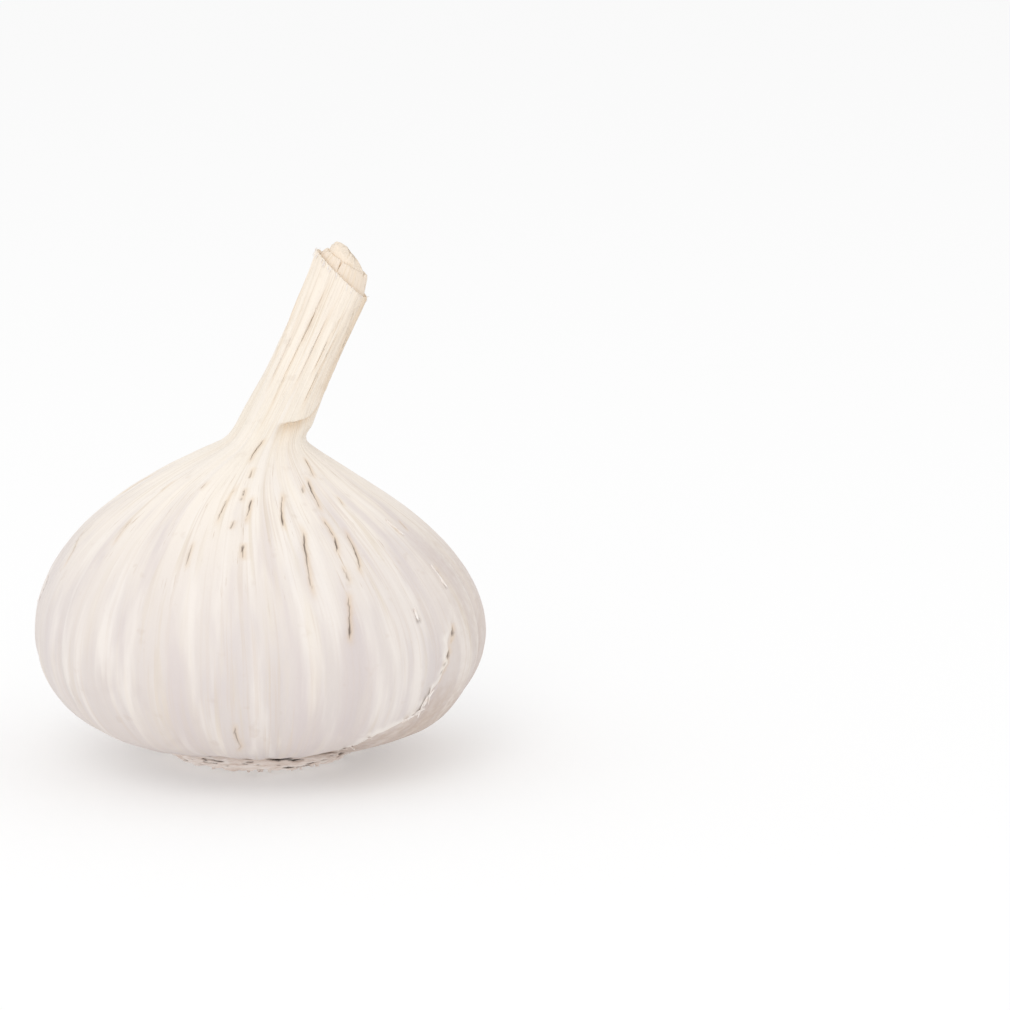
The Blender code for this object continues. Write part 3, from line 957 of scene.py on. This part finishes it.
def layer_marks(angle, travel, lengths, gather):
    """The marks that the relief tree and the finish read, for rings of the stalk."""
    rows = len(lengths)
    out = np.stack((np.sin(angle) * math.cos(STALK_LEAN), -np.cos(angle),
                    -np.sin(angle) * math.sin(STALK_LEAN)), axis=-1)
    return {"grain": grain_of(angle[None, :], np.array(travel)[:, None]),
            "outward": np.repeat(out[None], rows, axis=0),
            "gather": np.full((rows, LAYER_SEGMENTS), gather),
            "up": np.repeat(np.array(lengths)[:, None] + NECK, LAYER_SEGMENTS, axis=1)}


def inner_rise(angle):
    """The leaf is highest in front, with a split left of the middle and a notch on the right."""
    degrees = np.degrees(angle)
    right = 0.6 * np.sin(angle) - 0.70
    split = -1.1 * bell((degrees + 12.0) / 1.7)
    notch = -0.5 * bell((degrees - 66.0) / 7.0)
    jag = 0.05 * np.sin(13 * angle) + 0.03 * np.sin(41 * angle)
    return right + split + notch + jag


def inner_leaf():
    foot = STALK_LENGTH - SOCKET_DEPTH + FIT_GAP
    tops = np.linspace(STALK_LENGTH - 1.0, STALK_LENGTH + INNER_PROUD, TOP_RINGS)
    lengths = [foot, *tops, *tops[::-1], foot]
    draw_in = [0.0, *np.linspace(0.0, INNER_DRAW_IN, TOP_RINGS)]
    insets = [INNER_OUTSET + part for part in draw_in]
    insets += [INNER_OUTSET + INNER_WALL + part for part in draw_in[::-1]]
    insets[TOP_RINGS] += 0.10           # the two rings at the top are drawn together,
    insets[TOP_RINGS + 1] -= 0.10       # so that the edge is thin
    steps = [0.0, *np.linspace(0, 1, TOP_RINGS), *np.linspace(1, 0, TOP_RINGS), 0.0]
    angle, grid = layer_grid(steps, lengths, insets, inner_rise)
    return loft("inner_leaf", grid, layer_marks(angle, lengths, lengths, gather=0.4), closed_tube=True)


# Dried inner leaf: cream, with broad tan streaks and fine brown veins.
INNER_BASE = ((0, "#f1e0c9"), (66, "#f2e1cd"), (68, "#f5e6d5"))
INNER_STREAKS = (
    (2.5, 0.10, 0.50, 0.66, 0.5, "#e6cfa8", ANYWHERE),
    (0.9, 0.05, 0.52, 0.66, 0.5, "#d8bd94", ANYWHERE),
)
INNER_FINISH = streaked_leaf("dried_inner_leaf", INNER_BASE, INNER_STREAKS, roughness=0.6,
                             fibre_bump=0.06)
INNER_RELIEF = {"Rib Spacing": 0.03, "Rib Height": 0.5 * MM, "Lump Size": 0.10,
                "Lump Height": 0.25 * MM, "Seed": 6.0}
inner = grow(inner_leaf(), RELIEF, Material=INNER_FINISH, **INNER_RELIEF)
print("inner leaf:", len(inner.data.polygons), "faces")


# %% Core of the stalk
CORE_PROUD = 2.2        # mm that it stands above the cut
SIDE_RINGS, CROWN_RINGS = 9, 10
CORE_DRAW_IN = 0.30


def core_rise(angle):
    """Level with the slanted cut, a little higher at the left, where it then drops sharply."""
    side = np.sin(angle)
    peak = -0.65 - 0.30 * side - 0.9 * smooth((-0.86 - side) / 0.14)
    jag = 0.09 * np.sin(7 * angle + 0.4) + 0.06 * np.sin(19 * angle) + 0.04 * np.sin(43 * angle)
    return peak + jag


def stalk_core():
    """A plug: a narrowing side, and a crown of rings that close in over it."""
    foot = STALK_LENGTH - SOCKET_DEPTH + FIT_GAP
    top = STALK_LENGTH + CORE_PROUD
    inset = OUTER_WALL + INNER_WALL + 2 * FIT_GAP
    sides = np.linspace(STALK_LENGTH - 1.0, top, SIDE_RINGS)
    crown = np.linspace(0.15, 3.0, CROWN_RINGS)
    narrowing = np.linspace(0.0, CORE_DRAW_IN, SIDE_RINGS)
    lengths = [foot, *sides, *(top + 0.30 * np.sin(crown * 1.1))]
    insets = [inset, *(inset + narrowing), *(inset + CORE_DRAW_IN + crown * 0.92)]
    steps = [0.0, *np.linspace(0, 1, SIDE_RINGS), *np.linspace(1.0, 0.2, CROWN_RINGS)]
    angle, grid = layer_grid(steps, lengths, insets, core_rise)
    crumbly = grid[SIDE_RINGS + 2:, :, 2]
    crumbly += np.random.default_rng(12).uniform(-0.04, 0.04, crumbly.shape)
    travel = np.cumsum(np.abs(np.diff(np.array(lengths), prepend=lengths[0])) + 0.2)
    return loft("core_of_leaves", grid, layer_marks(angle, travel, lengths, gather=0.3))


# Pithy core: pale cream, blotched rather than streaked, and quite matt.
CORE_BASE = ((0, "#f1e1cb"), (66, "#f5e6d2"), (70, "#f7e9d8"))
CORE_STREAKS = (
    (1.6, 0.4, 0.50, 0.66, 0.4, "#ead5b0", ANYWHERE),
    (0.5, 0.2, 0.54, 0.66, 0.4, "#dcc39b", ANYWHERE),
)
CORE_FINISH = streaked_leaf("pithy_stalk_core", CORE_BASE, CORE_STREAKS, roughness=0.7,
                            fibre_bump=0.05)
core = grow(stalk_core(), RELIEF, Material=CORE_FINISH, **INNER_RELIEF)
print("core of leaves:", len(core.data.polygons), "faces")

# %% [markdown]
# ## Root plate
#
# The plate is cork: the stem of the plant, pressed flat, with the roots trimmed off under it.
# Its rim is a pile of thin level layers with gaps between them, where it dried and shrank.
# It starts as a turned disc that reaches up to the foot of the skin. A Geometry Nodes tree
# then drives the gaps in, with noise that is drawn out sideways so that they lie level. The
# `seam` mark makes gaps more likely near the top of the rim.

# %% Cork disc
PLATE_SEGMENTS = 540
RIM_ROWS = 34
RIM_LOW = 1.05          # mm, the height of the bottom of the rim
BOWL = ((2.0, 0.0), (5.0, 0.0), (7.5, 0.0), (PLATE_FLAT, 0.2),
        (10.0, 0.48), (11.3, 0.8), (12.1, 1.0))     # the underside: radius, height


def cork_plate():
    """The bowl underneath, an uneven rim that bulges at the left, and the crown on top."""
    angle = np.linspace(-math.pi, math.pi, PLATE_SEGMENTS, endpoint=False)[None, :]
    lift = foot_lift(angle)
    left = bell((angle + math.radians(78)) / 0.45)
    share = np.linspace(0.0, 1.0, RIM_ROWS)[:, None]
    rim_low = RIM_LOW + 0.5 * left
    rim_height = rim_low + share * (PLATE_RIM_HEIGHT + lift - rim_low)
    under_skin = 0.45 + 0.35 * np.sin(3.0 * angle + 0.4) + 0.15 * np.sin(7.0 * angle)
    rim_radius = PLATE_RADIUS - 0.1 + 0.30 * np.sin(math.pi * share) - 0.25 * share
    rim_radius = rim_radius + 0.7 * left - 0.9 * under_skin * smooth((share - 0.80) / 0.10)
    crown = PLATE_RADIUS * np.array((0.95, 0.85, 0.65, 0.3))[:, None]
    crown_height = plate_top(crown) + lift * bell((PLATE_RADIUS - crown) / 3.0)
    bowl = np.array(BOWL)
    ones = np.ones_like(angle)
    radius = np.concatenate((bowl[:, :1] * ones, rim_radius, crown * ones))
    height = np.concatenate((bowl[:, 1:] * ones, rim_height, crown_height))
    ragged = 0.12 * np.sin(11 * angle + 1.0) + 0.08 * np.sin(29 * angle)
    ragged = ragged + 0.05 * np.sin(67 * angle + 2.0)
    low_edge = bell((height - 1.0) / 0.35) * (radius > 11.0)
    height = np.maximum(height + low_edge * ragged, 0.0)
    around = np.stack((np.sin(angle), -np.cos(angle), 0.0 * angle), axis=-1)
    grid = around * radius[..., None]
    grid[..., 2] = height
    below_top = height - PLATE_RIM_HEIGHT - lift
    rim = smooth((radius - 11.0) / 1.0) * (below_top < 0.02)
    seam = rim * under_skin * smooth((below_top + 0.95) / 0.40)
    outward = np.repeat(around, len(radius), axis=0)
    return loft("root_plate_cork", grid, {"outward": outward, "gather": rim, "seam": seam})


# %% Gaps between the layers of cork
def cork_layers_tree():
    tree, given = new_tree("cork_layers", {
        "Gap Length": "Float", "Layer Height": "Float", "Gap Depth": "Float", "Seed": "Float",
        "Material": "Material"})
    place = add(tree, "GeometryNodeInputPosition")
    outward = add(tree, "GeometryNodeInputNamedAttribute", {"Name": "outward"}, data_type="FLOAT_VECTOR")
    strength = add(tree, "GeometryNodeInputNamedAttribute", {"Name": "gather"}, data_type="FLOAT")
    seam = add(tree, "GeometryNodeInputNamedAttribute", {"Name": "seam"}, data_type="FLOAT")
    size = add(tree, "ShaderNodeCombineXYZ", {"X": given["Gap Length"], "Y": given["Gap Length"],
               "Z": given["Layer Height"]})
    drawn = add(tree, "ShaderNodeVectorMath", {0: place.outputs[0], 1: size.outputs[0]},
                operation="DIVIDE")
    noise = add(tree, "ShaderNodeTexNoise", {"Vector": drawn.outputs[0], "W": given["Seed"],
                "Scale": 1.0, "Detail": 2.0, "Roughness": 0.5}, noise_dimensions="4D")
    easier = add(tree, "ShaderNodeMath", {0: seam.outputs[0], 1: -0.14}, operation="MULTIPLY")
    level = add(tree, "ShaderNodeMath", {0: noise.outputs[0], 1: easier.outputs[0]})
    gap = add(tree, "ShaderNodeMapRange", {"Value": level.outputs[0], "From Min": 0.400,
              "From Max": 0.350}, interpolation_type="SMOOTHSTEP")
    marked = add(tree, "GeometryNodeStoreNamedAttribute", {"Geometry": given["Geometry"], "Name": "gap",
                 "Value": gap.outputs[0]}, data_type="FLOAT", domain="POINT")
    rough = add(tree, "ShaderNodeMath", {0: noise.outputs[0], 1: -0.6}, operation="MULTIPLY")
    both = add(tree, "ShaderNodeMath", {0: gap.outputs[0], 1: rough.outputs[0]})
    deep = add(tree, "ShaderNodeMath", {0: both.outputs[0], 1: given["Gap Depth"]}, operation="MULTIPLY")
    inward = add(tree, "ShaderNodeMath", {0: deep.outputs[0], 1: -1.0}, operation="MULTIPLY")
    masked = add(tree, "ShaderNodeMath", {0: inward.outputs[0], 1: strength.outputs[0]},
                 operation="MULTIPLY")
    offset = add(tree, "ShaderNodeVectorMath", {0: outward.outputs[0], "Scale": masked.outputs[0]},
                 operation="SCALE")
    moved = add(tree, "GeometryNodeSetPosition", {"Geometry": marked.outputs[0],
                "Offset": offset.outputs[0]})
    end_tree(tree, moved.outputs[0], given["Material"])
    return tree


# %% [markdown]
# ## Finish: dry root cork
#
# Cork has no shine. Its layers are pinkish tan, paler at their worn edges, and the gaps
# between them are painted dark: painted shade in the crevices. Torn skin is the same kind of
# dull dry matter, but paler and with no gaps, so one function makes both finishes: three tones
# of noise, stretched level.

# %% Cork and torn skin
def dry_matter(name, tones, patch, flatness, gap=None):
    """Three tones in patches this many mm across, and a dark colour, painted shade, where gaps are
    marked.
    """
    made, tree, shader = new_finish(name, roughness=0.85, specular=0.3)
    place = add(tree, "ShaderNodeTexCoord").outputs["Object"]
    level = add(tree, "ShaderNodeMapping", {"Vector": place, "Scale": (1.0, 1.0, flatness)})
    grain = add(tree, "ShaderNodeTexNoise", {"Vector": level.outputs[0], "Scale": 1.0 / (patch * MM),
                "Detail": 4.0, "Roughness": 0.65})
    ramp = add(tree, "ShaderNodeValToRGB", {"Fac": grain.outputs[0]})
    ramp.color_ramp.elements.new(0.5)
    for element, at, code in zip(ramp.color_ramp.elements, (0.32, 0.48, 0.62), tones):
        element.position = at
        element.color = colour(code)
    shown = ramp.outputs["Color"]
    if gap:
        read = add(tree, "ShaderNodeAttribute", attribute_name="gap").outputs["Fac"]
        shown = paint_over(tree, shown, [(read, gap)])
    bump = add(tree, "ShaderNodeBump", {"Height": grain.outputs[0], "Distance": 0.15 * MM})
    tree.links.new(shown, shader.inputs["Base Color"])
    tree.links.new(bump.outputs[0], shader.inputs["Normal"])
    return made


# The patches of both are drawn coarser than real grain, which would be too fine to show.
# The gap colour is painted shade in the crevices of the cork.
CORK_FINISH = dry_matter("dry_root_cork", ("#e4d3c8", "#f2e6de", "#f9f2ed"), patch=2.2, flatness=5.0,
                         gap="#4f4037")
FLAKE_FINISH = dry_matter("torn_skin_flakes", ("#eaddd3", "#f3eae3", "#f8f2ed"), patch=2.0,
                          flatness=2.0)
plate = grow(cork_plate(), cork_layers_tree(), **{
    "Gap Length": 2.6 * MM, "Layer Height": 0.33 * MM, "Gap Depth": 0.60 * MM, "Seed": 1.0,
    "Material": CORK_FINISH})
print("root plate:", len(plate.data.polygons), "faces")

# %% [markdown]
# ## Root stubs
#
# The trimmed roots are short stubs under the rim of the plate. They repeat, so a Geometry Nodes
# tree makes them: it lays points in a ring, puts a short cylinder on each, and varies its lean
# and size from a fixed seed.

# %% Root stubs under the plate
STUB_LEVEL = 0.62       # mm, the height of the lower end of each stub


def stubs_tree():
    tree, given = new_tree("root_stubs", {
        "Count": "Int", "Inner Radius": "Float", "Outer Radius": "Float", "Stub Radius": "Float",
        "Stub Length": "Float", "Seed": "Int", "Material": "Material"})
    seeds = [add(tree, "ShaderNodeMath", {0: given["Seed"], 1: step}).outputs[0]
             for step in (0.0, 1.0, 2.0, 3.0)]
    turn = add(tree, "FunctionNodeRandomValue", {"Max_001": TAU, "Seed": seeds[0]}, data_type="FLOAT")
    reach = add(tree, "FunctionNodeRandomValue", {"Min_001": given["Inner Radius"],
                "Max_001": given["Outer Radius"], "Seed": seeds[1]}, data_type="FLOAT")
    cosine = add(tree, "ShaderNodeMath", {0: socket(turn.outputs, "Value_001")}, operation="COSINE")
    sine = add(tree, "ShaderNodeMath", {0: socket(turn.outputs, "Value_001")}, operation="SINE")
    ring = add(tree, "ShaderNodeCombineXYZ", {"X": cosine.outputs[0], "Y": sine.outputs[0]})
    spread = add(tree, "ShaderNodeVectorMath", {0: ring.outputs[0],
                 "Scale": socket(reach.outputs, "Value_001")}, operation="SCALE")
    raised = add(tree, "ShaderNodeVectorMath", {0: spread.outputs[0], 1: (0.0, 0.0, STUB_LEVEL * MM)})
    points = add(tree, "GeometryNodePoints", {"Count": given["Count"], "Position": raised.outputs[0]})
    stub = add(tree, "GeometryNodeMeshCone", {"Vertices": 7, "Side Segments": 2,
               "Radius Top": given["Stub Radius"], "Radius Bottom": given["Stub Radius"],
               "Depth": given["Stub Length"]})
    tilt = add(tree, "FunctionNodeRandomValue", {"Min": (-0.5, -0.5, 0.0), "Max": (0.5, 0.5, TAU),
               "Seed": seeds[2]}, data_type="FLOAT_VECTOR")
    size = add(tree, "FunctionNodeRandomValue", {"Min": (0.6, 0.6, 0.5), "Max": (1.3, 1.3, 1.0),
               "Seed": seeds[3]}, data_type="FLOAT_VECTOR")
    placed = add(tree, "GeometryNodeInstanceOnPoints", {"Points": points.outputs[0],
                 "Instance": stub.outputs["Mesh"], "Rotation": socket(tilt.outputs, "Value"),
                 "Scale": socket(size.outputs, "Value")})
    end_tree(tree, placed.outputs[0], given["Material"])
    return tree


stubs = grow(show("root_stubs", bpy.data.meshes.new("root_stubs")), stubs_tree(), **{
    "Count": 64, "Inner Radius": PLATE_FLAT * MM, "Outer Radius": 11.9 * MM, "Stub Radius": 0.24 * MM,
    "Stub Length": 0.75 * MM, "Seed": 5, "Material": CORK_FINISH})
print("root stubs:", len(stubs.data.polygons), "faces")

# %% [markdown]
# ## Slivers, fibres and the edges of inner skins
#
# Where the skin tore, thin slivers still hang on along the veins. The knife left short fibres
# at the cut, and the thin edges of inner skins lie round the root plate. All are narrow strips
# of leaf, so one Geometry Nodes tree makes them all. Each strip grows at a guide point, which
# holds the way that the strip runs and the way out of the surface.

# %% Guide points
def guide_points(name, places, runs, outs):
    """A mesh of loose points in mm, with two directions for each."""
    mesh = bpy.data.meshes.new(name)
    mesh.from_pydata((np.array(places) * MM).tolist(), [], [])
    for mark, vectors in (("along", runs), ("outward", outs)):
        layer = mesh.attributes.new(mark, "FLOAT_VECTOR", "POINT")
        layer.data.foreach_set("vector", np.array(vectors, dtype=np.float32).ravel())
    return show(name, mesh)


# %% Guides for slivers: along the low part of the tear, and a few strays elsewhere
TEAR_SLIVERS = 16
STRAY_SLIVERS = ((49, 22.9), (65, 33.0), (-83, 24.0), (66, 27.0))     # degrees, up


def sliver_guides():
    random = np.random.default_rng(21)
    places, runs, outs = [], [], []
    spots = [(tear_angle(up) + random.normal(-0.010, 0.014), up)
             for up in random.uniform(4.0, 13.0, TEAR_SLIVERS)]
    spots += [(math.radians(degrees) + random.normal(0.0, 0.01), up + random.normal(0.0, 0.6))
              for degrees, up in STRAY_SLIVERS]
    for angle, up in spots:
        row = np.argmin(np.abs(UPS[:, 0] - up) + 100.0 * (UPS[:, 0] < FOOT))
        column = np.argmin(np.abs(ANGLE[row] - angle))
        run = outside[row + 2, column] - outside[row - 2, column]
        places.append(outside[row, column] + 0.05 * OUTWARD[row, column])
        runs.append(run / np.linalg.norm(run))
        outs.append(OUTWARD[row, column])
    return guide_points("skin_slivers", places, runs, outs)


# %% Guides for fibres at the cut, and for edges of inner skin round the plate
FIBRES = 34
EDGES = 26


def fibre_guides():
    random = np.random.default_rng(8)
    lean = np.array((math.sin(STALK_LEAN), 0.0, math.cos(STALK_LEAN)))
    columns = random.integers(0, SEGMENTS, FIBRES)
    places = outside[-1, columns] - 0.25 * lean
    runs = lean + random.normal(0.0, 0.15, (FIBRES, 3))
    return guide_points("cut_fibres", places, runs, OUTWARD[-1, columns])


def foot_guides():
    random = np.random.default_rng(5)
    angle = np.linspace(-math.pi, math.pi, EDGES, endpoint=False) + random.uniform(-0.1, 0.1, EDGES)
    radius = PLATE_RADIUS + random.uniform(-0.35, 0.05, EDGES)
    height = random.uniform(1.3, 2.0, EDGES) + foot_lift(angle) * random.uniform(0.2, 1.0, EDGES)
    level = np.zeros(EDGES)
    places = np.column_stack((radius * np.sin(angle), -radius * np.cos(angle), height))
    runs = np.column_stack((np.cos(angle), np.sin(angle), level))
    outs = np.column_stack((np.sin(angle), -np.cos(angle), level))
    return guide_points("foot_skin_edges", places, runs, outs)


# %% Strips on guide points: a thin sheet that tapers and curls, laid along its guide
STRIP_THICKNESS = 0.06      # mm


def strips_tree():
    tree, given = new_tree("torn_strips", {
        "Length": "Float", "Width": "Float", "Curl": "Float", "Least Turn": "Vector",
        "Most Turn": "Vector", "Seed": "Int", "Material": "Material"})
    seeds = [add(tree, "ShaderNodeMath", {0: given["Seed"], 1: step}).outputs[0] for step in (0.0, 1.0)]
    along = add(tree, "GeometryNodeInputNamedAttribute", {"Name": "along"}, data_type="FLOAT_VECTOR")
    out = add(tree, "GeometryNodeInputNamedAttribute", {"Name": "outward"}, data_type="FLOAT_VECTOR")
    sheet = add(tree, "GeometryNodeMeshGrid", {"Size X": given["Length"], "Size Y": given["Width"],
                "Vertices X": 9, "Vertices Y": 3})
    place = add(tree, "GeometryNodeInputPosition")
    apart = add(tree, "ShaderNodeSeparateXYZ", {0: place.outputs[0]})
    share = add(tree, "ShaderNodeMath", {0: apart.outputs["X"], 1: given["Length"]}, operation="DIVIDE")
    square = add(tree, "ShaderNodeMath", {0: share.outputs[0], 1: 2.0}, operation="POWER")
    lift = add(tree, "ShaderNodeMath", {0: square.outputs[0], 1: given["Curl"]}, operation="MULTIPLY")
    taper = add(tree, "ShaderNodeMath", {0: square.outputs[0], 1: -3.4}, operation="MULTIPLY")
    inward = add(tree, "ShaderNodeMath", {0: taper.outputs[0], 1: apart.outputs["Y"]},
                 operation="MULTIPLY")
    bend = add(tree, "ShaderNodeCombineXYZ", {"Y": inward.outputs[0], "Z": lift.outputs[0]})
    bent = add(tree, "GeometryNodeSetPosition", {"Geometry": sheet.outputs["Mesh"],
               "Offset": bend.outputs[0]})
    thick = add(tree, "GeometryNodeExtrudeMesh", {"Mesh": bent.outputs[0], "Individual": False,
                "Offset Scale": STRIP_THICKNESS * MM}, mode="FACES")
    lengthwise = add(tree, "FunctionNodeAlignRotationToVector", {"Vector": along.outputs[0]}, axis="X")
    flat = add(tree, "FunctionNodeAlignRotationToVector", {"Rotation": lengthwise.outputs[0],
               "Vector": out.outputs[0]}, axis="Z", pivot_axis="X")
    turn = add(tree, "FunctionNodeRandomValue", {"Min": given["Least Turn"], "Max": given["Most Turn"],
               "Seed": seeds[0]}, data_type="FLOAT_VECTOR")
    turned = add(tree, "FunctionNodeRotateRotation", {"Rotation": flat.outputs[0],
                 "Rotate By": socket(turn.outputs, "Value")}, rotation_space="LOCAL")
    size = add(tree, "FunctionNodeRandomValue", {"Min": (0.4, 0.6, 0.5), "Max": (1.3, 1.4, 1.2),
               "Seed": seeds[1]}, data_type="FLOAT_VECTOR")
    placed = add(tree, "GeometryNodeInstanceOnPoints", {"Points": given["Geometry"],
                 "Instance": thick.outputs["Mesh"], "Rotation": turned.outputs[0],
                 "Scale": socket(size.outputs, "Value")})
    end_tree(tree, placed.outputs[0], given["Material"])
    return tree


# %% Growing the strips; an edge of inner skin curls as much as the rim of the plate does
STRIPS = strips_tree()
EDGE_LENGTH = 7.0
slivers = grow(sliver_guides(), STRIPS, **{
    "Length": 3.2 * MM, "Width": 0.34 * MM, "Curl": 0.5 * MM, "Least Turn": (-0.35, -0.05, -0.09),
    "Most Turn": (0.35, 0.03, 0.09), "Seed": 4, "Material": FLAKE_FINISH})
fibres = grow(fibre_guides(), STRIPS, **{
    "Length": 1.0 * MM, "Width": 0.16 * MM, "Curl": 0.3 * MM, "Least Turn": (-0.3, -0.10, -0.2),
    "Most Turn": (0.3, 0.05, 0.2), "Seed": 7, "Material": FLAKE_FINISH})
edges = grow(foot_guides(), STRIPS, **{
    "Length": EDGE_LENGTH * MM, "Width": 0.5 * MM,
    "Curl": -0.5 * EDGE_LENGTH ** 2 / PLATE_RADIUS * MM, "Least Turn": (-0.2, 0.0, -0.05),
    "Most Turn": (0.2, 0.0, 0.05), "Seed": 3, "Material": FLAKE_FINISH})
for strips in (slivers, fibres, edges):
    print(strips.name, len(strips.data.polygons), "faces")

# %% [markdown]
# ## Fasten the pieces to the model
# Every piece rides on the one body and says which part of the imported model it stands for,
# which is then hidden.

# %% Bodies, nodes and slots
PIECES = (
    (wrapper, "wrapped_bulb", "wrapper_leaf"),
    (inner, "inner_sheath", "sheath_leaf"),
    (core, "stalk_core", "stalk_core"),
    (plate, "root_plate", "root_plate"),
    (stubs, "root_plate", "root_plate"),
    (edges, "root_plate", "root_plate"),
    (slivers, "wrapped_bulb", "wrapper_leaf"),
    (fibres, "wrapped_bulb", "wrapper_leaf"),
)
for piece, node, finish_slot in PIECES:
    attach(piece, "root")
    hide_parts(node)
    print(piece.name, "stands for", node)

# %% [markdown]
# ## Floor, light and camera
#
# The floor is a plain white light table, which glows a little, so the shade under the bulb is
# soft and the root plate stays light. A white sky lights the bulb from all round, a large lamp
# over the front left shapes the ribs, and a weak low lamp reaches in under the head.

# %% Floor
FLOOR_GLOW = 0.28


def floor_finish():
    """Plain white, dull, and glowing a little."""
    made, _, shader = new_finish("plain_white_floor", roughness=0.9, specular=0.0)
    shader.inputs["Base Color"].default_value = colour("#dadada")
    shader.inputs["Emission Color"].default_value = colour("#ffffff")
    shader.inputs["Emission Strength"].default_value = FLOOR_GLOW
    return made


bpy.ops.mesh.primitive_plane_add(size=14.0, location=(0.0, 0.0, 0.0))
floor = bpy.context.object
floor.name = "floor"
floor.data.materials.append(floor_finish())

# %% Light
world = bpy.data.worlds.new("white_sky")
bpy.context.scene.world = world
world.use_nodes = True
sky = world.node_tree.nodes["Background"]
sky.inputs["Color"].default_value = (1.0, 1.0, 1.0, 1.0)
sky.inputs["Strength"].default_value = 0.955


def lamp(name, place, aim, size, power):
    """A square lamp, size in metres and power in watts, turned to face its aim."""
    light = bpy.data.lights.new(name, "AREA")
    light.size = size
    light.energy = power
    made = show(name, light)
    made.location = place
    made.rotation_euler = (Vector(aim) - Vector(place)).to_track_quat("-Z", "Y").to_euler()


lamp("large_softbox", (-0.22, -0.78, 0.95), (0.0, 0.0, 0.02), 0.6, 1.5)
lamp("low_fill", (-0.25, -0.87, 0.12), (0.0, 0.0, 0.0), 0.4, 0.60)

# %% Camera: from the front, a little above
VIEW_DOWN = math.radians(11.0)
VIEW_DISTANCE = 448.9 * MM
VIEW_AIM = Vector((32.7, 0.0, 34.2)) * MM
camera_data = bpy.data.cameras.new("camera")
camera_data.lens = 120.0
camera_data.sensor_width = 36.0
camera = show("camera", camera_data)
camera.location = VIEW_AIM + VIEW_DISTANCE * Vector((0.0, -math.cos(VIEW_DOWN), math.sin(VIEW_DOWN)))
camera.rotation_euler = (VIEW_AIM - camera.location).to_track_quat("-Z", "Y").to_euler()
bpy.context.scene.camera = camera
bpy.context.scene.view_settings.view_transform = "Standard"
print("camera", [round(part, 3) for part in camera.location])
